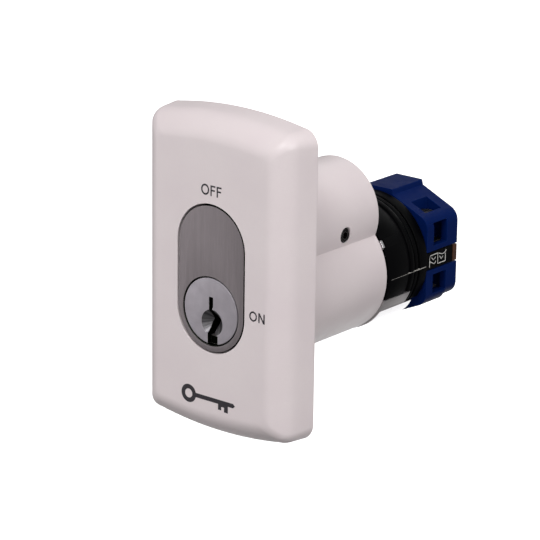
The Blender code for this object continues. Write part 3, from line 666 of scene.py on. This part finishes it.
def make_face_plate(paint):
    sections = [(plate_outline(inset_x, inset_z), y) for inset_x, inset_z, y in plate_profile()]
    plate = loft("face_plate_skin", sections, paint["white"])
    floor = PLATE_FRONT + PLATE_WALL
    hollow = [(plate_outline(inset, inset), y) for inset, y in HOLLOW + ((HOLLOW_FLOOR_INSET, floor),)]
    cut(plate, loft("hollow", hollow), prism("oval", plate_opening(), -FAR, FAR))
    for i, (x, z) in enumerate(BOSSES, 1):
        add(plate, rod(f"boss_{i}", 2.7, (floor - 0.5, FLANGE_FRONT - CLEAR), (x, 0, z)))
        cut(plate, rod(f"pilot_{i}", 1.25, (floor + 0.6, FAR), (x, 0, z)))
    soften(plate, 0.3)
    piece(plate, "white_plastic", "face_plate")


# --- printing


def letter_o(width, height, stroke):
    """Outer and inner loops of an oval letter, from its lower left corner."""
    half_w, half_h = width / 2, height / 2
    return [oval(half_w, half_h, half_w - inset, half_h - inset) for inset in (0.0, stroke)]


def letter_f(width, height, stroke):
    arm = width * 0.9
    low = height * 0.46
    high, top = low + stroke, height - stroke
    stem = [(0, 0), (stroke, 0), (stroke, low), (arm, low), (arm, high), (stroke, high)]
    return [stem + [(stroke, top), (width, top), (width, height), (0, height)]]


def letter_n(width, height, stroke):
    right, notch, nick = width - stroke, stroke * 1.75, 0.05
    left_stem = [(0, 0), (stroke, 0), (stroke, height - notch)]
    right_stem = [(right - nick, 0), (width, 0), (width, height), (right, height), (right, notch)]
    return [left_stem + right_stem + [(stroke + nick, height), (0, height)]]


def print_loops(bm, loops, origin, across=ACROSS, up=UP):
    """Raises a flat shape, given as one loop or as an outer and an inner loop, into a thin solid."""
    normal = across.cross(up).normalized() * PRINT_THICK
    low, high = [
        [[bm.verts.new(origin + across * a + up * b + lift) for a, b in loop] for loop in loops]
        for lift in (Vector(), normal)
    ]
    if len(loops) == 2:
        stitch(bm, [low[0], high[0], high[1], low[1], low[0]])
    else:
        stitch(bm, low + high)
        bm.faces.new(low[0])
        bm.faces.new(high[0])


def printed(name, bm, colour):
    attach(finish_mesh(name, bm, colour), "switch_body")


def print_word(name, letters, x, z, gap, paint):
    """A word on the plate's face, with its lower left corner at x and z."""
    bm = bmesh.new()
    for loops, width in letters:
        print_loops(bm, loops, Vector((x, PRINT_BACK, z)))
        x += width + gap
    printed(name, bm, paint["black_ink"])


def make_legends(paint):
    """OFF above the lock and ON to its right; each letter is given with its width."""
    off = [(letter_o(2.5, 2.7, 0.42), 2.5)] + [(letter_f(1.5, 2.65, 0.4), 1.5)] * 2
    on = [(letter_o(2.35, 2.5, 0.39), 2.35), (letter_n(1.9, 2.45, 0.37), 1.9)]
    print_word("legend_off", off, -3.0, 28.7, 0.4, paint)
    print_word("legend_on", on, 12.15, 0.5, 0.42, paint)


def make_key_mark(paint):
    """A plain key pictogram, lying on its side below the lock."""
    bm = bmesh.new()
    origin = Vector((KEY_MARK_X, PRINT_BACK, KEY_MARK_Z))
    half = 0.55
    bit = [(9.3, -2.0), (10.3, -2.0), (10.3, -1.1), (11.2, -1.1), (11.2, -2.3), (12.4, -2.3)]
    tip = [(12.4, -half), (14.0, -half), (14.6, 0.0), (14.0, half)]
    shaft = [(2.2, -half), (9.3, -half), *bit, *tip, (2.2, half)]
    print_loops(bm, [oval(0, 0, r, r) for r in (2.3, 1.15)], origin)
    print_loops(bm, [shaft], origin)
    printed("legend_key", bm, paint["black_ink"])


def stroke_quads(points, width):
    """One slim rectangle for each straight run of a line drawing."""
    quads = []
    for start, stop in zip(points, points[1:]):
        a, b = Vector(start), Vector(stop)
        along = (b - a).normalized() * width / 2
        side = Vector((-along.y, along.x))
        quads.append([a - along - side, b + along - side, b + along + side, a - along + side])
    return quads


def make_contact_marks(paint):
    """Two plain contact symbols on each end of the black strip: a make and a break contact."""
    width, scale = 0.2, 0.95
    make_contact = [
        [(0.1, -0.35), (0.1, 2.35), (0.4, 2.75), (3.65, 2.8), (3.75, -0.1)],
        [(0.3, 1.1), (2.2, 0.1), (2.8, 0.7)],
        [(1.0, 2.0), (1.7, 1.3), (2.7, 1.9)],
    ]
    break_contact = [
        [(4.1, 2.65), (5.6, 2.1), (6.7, 2.2), (7.4, 2.85)],
        [(7.1, 1.95), (7.2, -0.15), (3.9, -0.15)],
        [(4.6, 1.7), (5.2, 0.8), (6.0, 1.4)],
    ]
    for side, hand, start in (("left", -1, 63.0), ("right", 1, 55.8)):
        bm = bmesh.new()
        origin = Vector((hand * (STRIP_X + PRINT_PROUD - PRINT_THICK), start, -1.2))
        for line in make_contact + break_contact:
            for quad in stroke_quads(line, width):
                print_loops(bm, [quad], origin, Vector((0, hand * scale, 0)), UP * scale)
        printed(f"contact_marks_{side}", bm, paint["white_ink"])


# --- housing


def lobes(low_r, up_r):
    """The housing's outline: a large lower lobe and a smaller upper lobe that cross at a crease."""
    crease_z = (low_r**2 - up_r**2 + LOBE_UP_Z**2) / (2 * LOBE_UP_Z)
    low_a = degrees(asin(crease_z / low_r))
    up_a = degrees(asin((crease_z - LOBE_UP_Z) / up_r))
    lower = arc(0, 0, low_r, 180 - low_a, 360 + low_a, 96)
    upper = arc(0, LOBE_UP_Z, up_r, up_a, 180 - up_a, 72)
    return lower + upper[1:-1]


def make_housing(paint):
    inset = PLATE_WALL + CLEAR
    housing = prism("housing_skin", plate_outline(inset, inset), FLANGE_FRONT, -CLEAR, paint["white"])
    rear, edge, steps = HOUSING_HIGH.y, 0.45, 4
    tube = [(lobes(LOBE_LOW_R, LOBE_UP_R), -1.0)]
    for i in range(steps + 1):
        t = radians(90 * i / steps)
        inset = edge * (1 - cos(t))
        tube.append((lobes(LOBE_LOW_R - inset, LOBE_UP_R - inset), rear - edge + edge * sin(t)))
    add(housing, prism("sleeve", stadium(SLEEVE_R), HOUSING_LOW.y, FLANGE_FRONT + 0.5), loft("tube", tube))
    cut(
        housing,
        prism("lock_bore", stadium(OVAL_R), -FAR, LIP_FRONT),
        prism("lip_bore", stadium(LIP_R), LIP_FRONT - 0.5, LIP_REAR + 0.5),
        rod("operator_bore", REAR_BORE_R, (LIP_REAR, FAR), steps=96),
        rod("upper_bore", UPPER_BORE_R, (LIP_REAR + 0.2, UPPER_BORE_END), (0, 0, LOBE_UP_Z), steps=96),
        turned("grub_bore", grub_bore(), centre=(0, GRUB_Y, GRUB_Z), axis="X", steps=40),
        rod("operator_screw_bore", SCREW_SEAT_R, (-FAR, -5), (0, OPERATOR_SCREW_Y, 0), "Z"),
    )
    for i, (x, z) in enumerate(BOSSES, 1):
        hole = rod(f"hole_{i}", 1.4, (-FAR, FAR), (x, 0, z))
        cut(housing, hole, rod(f"seat_{i}", 2.4, (-2.0, FAR), (x, 0, z)))
    piece(housing, "white_plastic", "housing")


def grub_bore():
    """The set screw's hole, with a soft mouth where it meets the lobe's surface."""
    surface = sqrt(LOBE_UP_R**2 - (GRUB_Z - LOBE_UP_Z) ** 2)
    bore, mouth = GRUB_R + 0.1, GRUB_R + 0.4
    flare = [(bore, surface - 0.25), (bore + 0.08, surface - 0.05), (mouth, surface + 0.15)]
    return [(0, 5.0), (bore, 5.0), *flare, (mouth, 20.0), (0, 20.0)]


def make_set_screw(name, node, radius, tip, end, centre, axis, paint):
    """A headless screw with a chamfered end and a hexagon socket."""
    away = 1 if end > tip else -1
    bottom = [(0, tip), (radius * 0.5, tip), (radius, tip + 0.6 * away)]
    top = [(radius, end - 0.25 * away), (radius - 0.25, end), (0, end)]
    screw = turned(name, bottom + top, paint["oxide"], centre=centre, axis=axis, steps=48)
    cut(screw, rod("socket", radius * 0.53, (end - 1.2 * away, end + 3 * away), centre, axis, steps=6))
    piece(screw, "steel", node)


def make_set_screws(paint):
    grub = (GRUB_R, 10.35, 12.85, (0, GRUB_Y, GRUB_Z), "X")
    make_set_screw("side_screw", "grub_screw", *grub, paint)
    lower = (1.6, -12.2, -15.6, (0, OPERATOR_SCREW_Y, 0), "Z")
    make_set_screw("bottom_screw", "operator_screw", *lower, paint)


def make_slotted_screw(name, node, profile, x, z, half, paint):
    """A slotted screw along Y; half is half the slot's width."""
    head = profile[-1][1]
    screw = turned(name, profile, paint["steel"], centre=(x, 0, z), steps=48, radius=0.12)
    cut(screw, block("slot", (x - half, x + half), (head - 0.5, FAR), (z - 3, z + 3)))
    piece(screw, "steel", node)


def make_flange_screws(paint):
    head = -0.5
    shank = [(0, -8.0), (0.7, -8.0), (1.1, -7.4), (1.1, head - 1.2)]
    profile = shank + [(2.1, head - 1.2), (2.1, head), (0, head)]
    for i, (x, z) in enumerate(BOSSES, 1):
        make_slotted_screw(f"plate_screw_{i}", f"flange_screw_{i}", profile, x, z, 0.3, paint)


# --- lock cylinder


def make_lock_shell(paint):
    front, rear = SHELL_LOW.y, SHELL_HIGH.y
    edge = 0.18
    mouth = [(edge, front), (edge * 0.3, front + edge * 0.3), (0, front + edge)]
    sections = [(stadium(LOCK_R - inset), y) for inset, y in mouth + [(0, rear - edge), (edge, rear)]]
    shell = loft("lock_shell_body", sections, paint["shell"], paint["shade"])
    # painted shadow: the shell's side walls take the near-black second material, standing in for the dark
    # gap round the lock
    for face in shell.data.polygons:
        if abs(face.normal.y) < 0.1:
            face.material_index = 1
    wide, floor = PLUG_FACE_R + 0.28, PLUG_STEP + CLEAR
    flare = wide + 0.12
    seat = [(0, -FAR), (flare, -FAR), (flare, front), (wide, front + 0.12), (wide, floor), (0, floor)]
    cut(
        shell,
        rod("bore", PLUG_R + 0.2, (-FAR, FAR), steps=96),
        # painted shade: the seat cutter leaves its near-black material on the wall round the plug, a painted
        # dark ring
        turned("seat", seat, paint["shade"], steps=120),
        block("slot", (-1.9, 1.9), (-7.6, 13.6), (COVER_SLOT_Z, FAR)),
    )
    for i, y in PIN_ROWS:
        cut(shell, rod(f"chamber_{i}", CHAMBER_R, (4, COVER_SLOT_Z + CLEAR), (0, y, 0), "Z", steps=32))
    piece(shell, "satin_metal", "lock_shell")


def keyway_outline():
    """The key's path: a thin slot with a ward on each side over a wider foot that breaks out below."""
    ward = [(0.7, 3.6), (0.7, 1.2), (0.45, 0.8), (0.45, -0.6), (0.75, -1.1)]
    foot = [(0.75, -5.2), (1.3, -5.6), (2.2, -5.9), (2.2, -12.0)]
    left = [(-0.95, -12.0), (-0.95, -3.2), (-0.6, -2.4), (-0.6, 3.6)]
    return fillet(ward + foot + left, 0.12, steps=3)


def make_lock_plug(paint):
    front, rear = PLUG_LOW.y, PLUG_HIGH.y
    shoulder = SHELL_HIGH.y - 0.2
    face = [(0, front), (PLUG_FACE_R, front), (PLUG_FACE_R, PLUG_STEP), (PLUG_R, PLUG_STEP)]
    stub = [(PLUG_R, shoulder), (STUB_R, shoulder), (STUB_R, rear), (0, rear)]
    plug = turned("plug_body", face + stub, paint["plug"], steps=120, radius=0.22)
    cone = [(0, front - 0.1 + DIMPLE_R), (DIMPLE_R + 1, front - 1.1), (0, front - 1.1)]
    cut(
        plug,
        turned("dimple", cone, paint["dimple"], centre=(DIMPLE_X, 0, DIMPLE_Z), steps=96),
        # painted shade: the keyway's walls take the near-black material, painted darkness inside the slot
        prism("keyway", keyway_outline(), -FAR, shoulder - 3.8, paint["shade"]),
    )
    for i, y in PIN_ROWS:
        cut(plug, rod(f"chamber_{i}", CHAMBER_R, (-1.5, 9), (0, y, 0), "Z", steps=32))
    piece(plug, "nickel", "lock_plug", body="key_plug")


def helix(name, centre, radius, length, turns, axis, paint):
    """A compression spring of round wire whose end coils lie flat."""
    around, sides = 28, 10
    count = int(turns * around)
    flat = 0.75 / turns
    coil = SPRING_WIRE_R * 0.9

    def rise(share):
        middle = min(max((share - flat) / (1 - 2 * flat), 0.0), 1.0)
        ends = (min(share, flat) + max(share - 1 + flat, 0.0)) / flat * coil
        return SPRING_WIRE_R + ends + (length - 2 * SPRING_WIRE_R - 2 * coil) * middle

    place = stand(centre, axis)
    section = oval(0, 0, SPRING_WIRE_R, SPRING_WIRE_R, sides)
    rings = []
    for i in range(count + 1):
        a = tau * i / around
        out = Vector((cos(a), sin(a), 0))
        middle = out * radius + UP * rise(i / count)
        rings.append([place @ (middle + out * x + UP * z) for x, z in section])
    return skinned(name, rings, paint["steel"])


def make_pin_stacks(paint):
    for i, y in PIN_ROWS:
        low, high = limits(f"bottom_pin_{i}")
        tall = high.z - low.z
        r = high.x
        profile = [(0, 0), (0.4, 0), (r, 0.9), (r, tall - 0.15), (r - 0.2, tall), (0, tall)]
        make_pin(f"key_pin_{i}", f"bottom_pin_{i}", profile, (0, y, low.z), "brass", paint)
        low, high = limits(f"driver_pin_{i}")
        tall = high.z - low.z
        profile = [(0, 0), (r - 0.2, 0), (r, 0.2), (r, tall), (0, tall)]
        make_pin(f"driver_{i}", f"driver_pin_{i}", profile, (0, y, low.z), "steel", paint)
        low, high = limits(f"pin_spring_{i}")
        length = high.z - low.z
        spring = helix(f"stack_spring_{i}", (0, y, low.z), 1.0, length, 7.5, "Z", paint)
        piece(spring, "steel", f"pin_spring_{i}")
        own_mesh(spring)


def make_pin(name, node, profile, centre, metal, paint):
    """One pin of a stack, on the body that bears its own name."""
    pin = turned(name, profile, paint[metal], centre=centre, axis="Z", steps=32, radius=0.08)
    piece(pin, metal, node, body=name)


# --- operator


def ring_section(outer, inner, start, end, steps):
    """A C-shaped outline between two radii and two angles."""
    return arc(0, 0, outer, start, end, steps) + arc(0, 0, inner, end, start, steps)


def make_tongue(paint):
    """The bright lower skin of the sleeve, whose slanted rear end reaches under the flanges."""
    front = COLLAR_LOW.y + 0.3
    top = sin(radians(TONGUE_EDGE))
    rows, columns = 24, 72
    slices = []
    for k in range(columns + 1):
        a = radians(180 - TONGUE_EDGE + (180 + 2 * TONGUE_EDGE) * k / columns)
        rear = TONGUE_REAR + TONGUE_LEAN * max(top - sin(a), 0.0)
        along = [front + (rear - front) * i / rows for i in range(rows + 1)]
        line = [(TONGUE_R + TONGUE_PROUD, y) for y in along] + [(TONGUE_INNER_R, y) for y in reversed(along)]
        slices.append([(r * cos(a), y, r * sin(a)) for r, y in line])
    return skinned("tongue", slices, paint["chrome"])


def make_chrome_sleeve(paint):
    """The sleeve: full size where it shows, in a darker, rougher chrome that paints a grey reflection there,
    thin under the collar, with a bright tongue.
    """
    front, rear = COLLAR_LOW.y, COLLAR_HIGH.y + 0.1
    edge = 0.25

    def outline(inset):
        shown = arc(0, 0, COLLAR_R - inset, 180 - CHROME_EDGE, 360 + CHROME_EDGE, 120)
        return shown + arc(0, 0, COLLAR_R - 1.2, CHROME_EDGE, 180 - CHROME_EDGE, 96)

    eased = [(edge, 0), (edge * 0.3, edge * 0.3), (0, edge)]
    sections = [(outline(inset), front + step) for inset, step in eased]
    sections += [(outline(inset), rear - step) for inset, step in reversed(eased)]
    sleeve = loft("chrome_ring", sections, paint["satin"])
    cut(sleeve, rod("bore", BARREL_R + CLEAR, (0, FAR), steps=96))
    add(sleeve, make_tongue(paint))
    piece(sleeve, "chrome", "chrome_sleeve")


def tongue_notch():
    """The room left in a black flange for the chrome tongue."""
    outline = ring_section(COLLAR_R + 2, NOTCH_R, 180 - NOTCH_EDGE, 360 + NOTCH_EDGE, 72)
    return prism("tongue_notch", outline, 48.9, 60)


def make_collar(paint):
    """The black ribbed collar over the sleeve, open below, with a notch beside the housing's crease."""
    start = CHROME_EDGE + 1.0
    front, rear = COLLAR_LOW.y, COLLAR_HIGH.y
    rim = [(0.3, front), (0.08, front + 0.1), (0.0, front + 0.35)]
    groove = [(0.0, 45.6), (0.06, 45.8), (0.3, 45.95), (0.34, 46.6), (0.5, 46.7), (0.5, 47.0), (0.1, 47.15)]
    rib = [(0.0, 47.35), (0.0, rear - 0.3), (0.12, rear - 0.08), (0.3, rear)]
    sections = [
        (ring_section(COLLAR_R - drop, COLLAR_R - 0.95, start, 180 - start, 160), y)
        for drop, y in rim + groove + rib
    ]
    collar = loft("collar_ribbed", sections, paint["black"])
    notch = ring_section(20, COLLAR_R - 1.5, 26.0, 35.0, 6)
    cut(collar, prism("crease_notch", notch, front - 1, front + 0.9))
    piece(collar, "black_plastic", "operator_collar")


def make_crease_lip(paint):
    """The bright lip of the sleeve that shows in the collar's notch."""
    front = COLLAR_LOW.y
    outline = ring_section(COLLAR_R - 0.05, COLLAR_R - 1.1, 27.2, 34.2, 8)
    lip = prism("chrome_lip", outline, front - 0.25, front + 0.55, paint["chrome"])
    soften(lip, 0.08, 2)
    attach(lip, "switch_body")


def make_seam(paint):
    """The fine parting line along both sides of the operator: a thin ridge, coloured light as a painted
    highlight.
    """
    angle = radians(-2.6)
    rows = [(39.0, 0.02), (40.5, 0.03), (45.5, 0.045), (50.0, 0.05), (53.0, 0.05), (53.5, 0.03)]
    sunk, proud = COLLAR_R - 0.6, COLLAR_R + 0.03
    for side, hand in (("left", -1), ("right", 1)):
        rings = []
        for y, width in rows:
            low, high = angle - width / COLLAR_R, angle + width / COLLAR_R
            corners = ((sunk, low), (proud, low), (proud, high), (sunk, high))
            rings.append([(hand * r * cos(a), y, r * sin(a)) for r, a in corners])
        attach(skinned(f"parting_line_highlight_{side}", rings, paint["seam"]), "switch_body")


def make_operator_body(paint):
    front, rear, flange_r = BODY_LOW.y, BODY_HIGH.y, BODY_HIGH.x
    barrel = [(0, front), (BARREL_R, front), (BARREL_R, FLANGE_Y)]
    flange = [(flange_r, FLANGE_Y), (flange_r, rear), (0, rear)]
    body = turned("operator_barrel", barrel + flange, paint["black"], steps=120, radius=0.35)
    cut(
        body,
        rod("bore", BARREL_BORE_R, (-FAR, 46.2), steps=96),
        rod("groove", 10.4, (32.2, 33.3), steps=96),
        prism("stop_pocket", ring_section(11.2, 8.0, -9.5, 99.5, 24), 39.2, 41.8),
        rod("screw_seat", SCREW_SEAT_R, (-FAR, -11.9), (0, OPERATOR_SCREW_Y, 0), "Z"),
        rod("detent_bore", 1.15, (-20, -7), (0, 38.5, 0), "X", steps=32),
        tongue_notch(),
    )
    for side in (-1, 1):
        cut(
            body,
            rod("plunger_hole", PLUNGER_HOLE_R, (40, FAR), (0, 0, side * POLE_Z)),
            rod("screw_hole", BLOCK_SCREW_HOLE_R, (47.2, FAR), (side * BLOCK_SCREW_X, 0, 0)),
        )
    piece(body, "black_plastic", "operator_body")


# --- contact block


def make_contact_base(paint):
    disc_r, front, rear = BASE_HIGH.x, BASE_LOW.y, BASE_HIGH.y
    disc_rear = BLOCK_FRONT - CLEAR
    profile = [(0, front), (disc_r, front), (disc_r, disc_rear), (0, disc_rear)]
    base = turned("base_moulding", profile, paint["black"], steps=120, radius=0.3)
    start, spine_x = BLOCK_FRONT - 1.0, CORE_X + 5.2
    add(
        base,
        block("strip", (-STRIP_X, STRIP_X), (BLOCK_FRONT, rear), (-STRIP_Z, STRIP_Z)),
        block("core", (-CORE_X, CORE_X), (start, rear), (-CORE_Z, CORE_Z)),
        block("spine", (-spine_x, spine_x), (start, rear - 1), (-STRIP_Z, STRIP_Z)),
    )
    cut(base, tongue_notch())
    for side, slot_y in ((1, 62.0), (-1, 57.9)):
        x = side * BLOCK_SCREW_X
        cut(
            base,
            block("cell", (-6.2, 6.2), (56.5, FAR), spread(side, 2.9, 10.2)),
            block("contact_slot", (-CORE_X - 1, CORE_X + 1), (slot_y, FAR), spread(side, 4.9, 8.7)),
            rod("plunger_hole", PLUNGER_HOLE_R, (45, 60), (0, 0, side * POLE_Z)),
            rod("screw_hole", BLOCK_SCREW_HOLE_R, (45, FAR), (x, 0, 0)),
            rod("screw_seat", SCREW_SEAT_R, (63.4, FAR), (x, 0, 0)),
        )
    soften(base, 0.16, 2)
    piece(base, "black_plastic", "contact_base")


def make_rear_insulator(paint):
    front, rear = BOARD_LOW.y, BOARD_HIGH.y
    board = block("board", (-BLOCK_X, BLOCK_X), (front, rear), (-STRIP_Z, STRIP_Z), paint["board"])
    add(board, block("core", (-CORE_X, CORE_X), (front, rear), (-CORE_Z, CORE_Z)))
    for side in (-1, 1):
        cut(board, rod("hole", 1.75, (60, FAR), (side * BLOCK_SCREW_X, 0, 0)))
    soften(board, 0.1, 2)
    piece(board, "phenolic_board", "rear_insulator")


def make_block_screws(paint):
    profile = [(0, 48.4), (0.95, 48.4), (0.95, 63.7), (1.6, 63.7), (1.6, 65.0), (0, 65.0)]
    for i, side in enumerate((-1, 1), 1):
        x = side * BLOCK_SCREW_X
        make_slotted_screw(f"clamp_screw_{i}", f"block_screw_{i}", profile, x, 0, 0.25, paint)


def cover_outline(side, grow):
    """A terminal cover from the front: straight side, round shoulder, slope and raised brow."""
    brow_z = COVER_HIGH.z if side > 0 else -UNDER_LOW.z
    centre = SHOULDER_Z + grow
    shoulder = arc(BLOCK_X - SHOULDER_R, centre, SHOULDER_R, 4, 66, 16)
    right = [(BLOCK_X, STRIP_Z + CLEAR), (BLOCK_X, centre)] + shoulder
    right += [(BROW_X + 0.3, BROW_FOOT_Z + grow), (BROW_X, brow_z - 0.1), (BROW_X - 0.3, brow_z)]
    left = [(-x, z) for x, z in reversed(right)]
    return [(x, side * z) for x, z in right + left]


def cover_body(name, side, paint):
    if side > 0:
        return prism(name, cover_outline(side, 0.0), BLOCK_FRONT, BLOCK_REAR, paint)
    deep = cover_outline(side, LOWER_GROW)
    shallow = cover_outline(side, LOWER_GROW - LOWER_STEP)
    step, end = LOWER_STEP_Y
    return loft(name, [(deep, BLOCK_FRONT), (deep, step), (shallow, end), (shallow, BLOCK_REAR)], paint)


def make_cover(name, side, node, paint):
    drop = POCKET_DROP if side < 0 else 0.0
    slot_y = (62.0, 63.4) if side > 0 else (57.9, 59.3)
    cover = cover_body(name, side, paint["blue"])
    recess_x = CORE_X + CLEAR
    cutters = [block("recess", (-recess_x, recess_x), (0, 80), spread(side, 0, CORE_Z + CLEAR))]
    for hand in (-1, 1):
        x = hand * TERMINAL_X
        cutters += [
            block("pocket", spread(hand, 8.3, 13.9), (56.9, 64.1), spread(side, 3.15, 10.0 - drop)),
            block("entry", spread(hand, 13.0, 20.0), (57.3, 62.9), spread(side, 3.8, 9.7 - drop)),
            block("slot", spread(hand, 7.0, 8.8), slot_y, spread(side, 3.15, 8.9)),
            block("access", (x - 2.3, x + 2.3), (57.2, 63.8), spread(side, 9.0, 20.0)),
        ]
    cut(cover, *cutters)
    soften(cover, 0.32)
    piece(cover, "blue_plastic", node)


def make_covers(paint):
    make_cover("cover_upper", 1, "upper_cover", paint)
    make_cover("cover_lower", -1, "lower_cover", paint)


def make_terminals(paint):
    """A wire clamp and its screw at each corner of the block."""
    for number, (side, hand) in enumerate(CORNERS, 1):
        x = hand * TERMINAL_X
        sides = list(zip(*limits(f"clamp_plate_{number}")))
        clamp = block(f"wire_clamp_{number}", *sides, paint["steel"])
        cut(clamp, rod("hole", 1.3, (-15, 15), (x, TERMINAL_Y, 0), "Z"))
        soften(clamp, 0.1, 2)
        piece(clamp, "steel", f"clamp_plate_{number}")
        low, high = limits(f"terminal_screw_{number}")
        tip, top = (low.z, high.z) if side > 0 else (-high.z, -low.z)
        seat = top - 1.5
        profile = [(0, tip), (1.1, tip), (1.1, seat), (1.9, seat), (1.9, top), (0, top)]
        profile = [(r, side * z) for r, z in profile]
        name, centre = f"wire_screw_{number}", (x, TERMINAL_Y, 0)
        screw = turned(name, profile, paint["dull"], centre=centre, axis="Z", steps=48, radius=0.25)
        along = (TERMINAL_Y - 3, TERMINAL_Y + 3)
        cut(screw, block("slot", (x - 0.3, x + 0.3), along, spread(side, seat + 0.7, 20)))
        piece(screw, "steel", f"terminal_screw_{number}")


def make_return_springs(paint):
    for label in ("upper", "lower"):
        low, high = limits(f"return_spring_{label}")
        z = (low.z + high.z) / 2
        length = high.y - low.y
        spring = helix(f"pole_spring_{label}", (0, low.y, z), 1.5, length, 4.5, "Y", paint)
        piece(spring, "steel", f"return_spring_{label}")
        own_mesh(spring)


def dress_inner_nodes(paint):
    """Gives the CAD pieces that stay, all of them inside, their real finishes."""
    finishes = {
        "shell": ["chamber_cover"],
        "steel": ["plug_cap", "tailpiece", "detent_ball", "detent_spring", "retaining_ring"],
        "red": ["rotor_cam"],
        "natural": ["plunger_upper", "plunger_lower"],
        "brass": ["bridge_upper", "bridge_lower"],
        "dull": [f"fixed_contact_{number}" for number in range(1, 5)],
    }
    for finish, nodes in finishes.items():
        for node in nodes:
            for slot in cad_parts[node].material_slots:
                slot.material = paint[finish]


# --- the studio


def make_camera():
    """The photograph's view: right of the plate and a little above it, through a long lens."""
    turn, rise, roll = 0.683090, 0.308822, 0.012977
    distance, focal = 0.702248, 191.915
    aim = (CAD_BOX[0] + CAD_BOX[1]) / 2 + Vector((-0.000503, -0.016217, -0.003181))
    back = Vector((sin(turn) * cos(rise), -cos(turn) * cos(rise), sin(rise)))
    right = Vector((cos(turn), sin(turn), 0))
    up = back.cross(right)
    level = Matrix((right, up, back)).transposed().to_4x4()
    camera = bpy.data.objects.new("camera", bpy.data.cameras.new("camera"))
    camera.matrix_world = Matrix.Translation(aim + back * distance) @ level @ Matrix.Rotation(roll, 4, "Z")
    camera.data.sensor_width = 36.0
    camera.data.lens = focal
    camera.data.clip_start = 0.01
    camera.data.clip_end = 20.0
    bpy.context.scene.collection.objects.link(camera)
    bpy.context.scene.camera = camera


def make_light(name, place, size, power):
    """A softbox that faces the object; size is its width and height."""
    lamp = bpy.data.lights.new(name, "AREA")
    lamp.shape = "RECTANGLE"
    lamp.size, lamp.size_y = size
    lamp.energy = power
    ob = bpy.data.objects.new(name, lamp)
    ob.location = place
    ob.rotation_mode = "QUATERNION"
    ob.rotation_quaternion = (-Vector(place)).to_track_quat("-Z", "Y")
    ob.visible_camera = False
    bpy.context.scene.collection.objects.link(ob)
    return ob


SWEEP = ((4000, 4000), (4000, 1000), (3920, 620), (3710, 290), (3380, 80), (3000, 0))  # radius and height
FLOOR_DROP = 0.07  # metres from the object's lowest point down to the floor


def make_floor():
    """A pale round sweep that curves up into a wall, lit to white and kept out of reflections."""
    s = Surface("floor_paper", specular=0.2)
    s.shader.inputs["Emission Color"].default_value = (1, 1, 1, 1)
    s.shader.inputs["Emission Strength"].default_value = 0.8
    bm = bmesh.new()
    rings = [[bm.verts.new((x, y, height)) for x, y in oval(0, 0, r, r, 96)] for r, height in SWEEP]
    stitch(bm, rings)
    bm.faces.new(rings[-1])
    floor = finish_mesh("floor", bm, s.done(tint(240, 240, 240), 0.8))
    floor.location = (0, 0, CAD_BOX[0].z - FLOOR_DROP)
    floor.visible_diffuse = False
    floor.visible_glossy = False
    floor.visible_shadow = False


def make_world():
    """Soft surroundings, dimmer towards the ground."""
    world = bpy.data.worlds.new("studio")
    world.use_nodes = True
    tree = world.node_tree
    grid = tree.nodes.new("ShaderNodeTexCoord")
    axes = tree.nodes.new("ShaderNodeSeparateXYZ")
    ramp = tree.nodes.new("ShaderNodeMapRange")
    tree.links.new(grid.outputs["Generated"], axes.inputs[0])
    tree.links.new(axes.outputs["Z"], ramp.inputs["Value"])
    set_range(ramp, -0.6, 0.4, 0.2, 0.4)
    tree.links.new(ramp.outputs["Result"], tree.nodes["Background"].inputs["Strength"])
    tree.nodes["Background"].inputs["Color"].default_value = (1.0, 1.0, 1.0, 1.0)
    bpy.context.scene.world = world


def make_studio():
    make_camera()
    make_floor()
    make_world()
    make_light("key", (0.21, -0.63, 0.79), (0.4, 0.4), 4.95)
    make_light("right", (0.72, -0.14, 0.36), (0.4, 0.4), 2.5)
    make_light("rear", (-0.35, 0.5, 0.9), (0.5, 0.5), 0.2)
    make_light("left", (-0.62, -0.42, -0.05), (0.5, 0.5), 1.0)
    make_light("low", (0.2, -0.75, -0.35), (0.5, 0.5), 0.4)
    make_light("back", (-0.25, 0.95, 0.12), (0.5, 0.5), 1.5)
    card = make_light("card", (-0.21, 0.44, -0.35), (0.5, 0.32), 0.46)
    card.visible_diffuse = False  # it shows only in the chrome and the gloss
    bpy.context.scene.view_settings.view_transform = "Standard"


def main():
    make_studio()
    paint = make_materials()
    for make in (
        make_face_plate, make_legends, make_key_mark, make_housing, make_flange_screws, make_set_screws,
        make_lock_shell, make_lock_plug, make_pin_stacks, make_chrome_sleeve, make_collar, make_crease_lip,
        make_seam, make_operator_body, make_contact_base, make_rear_insulator, make_contact_marks,
        make_block_screws, make_covers, make_terminals, make_return_springs, dress_inner_nodes,
    ):
        make(paint)


main()
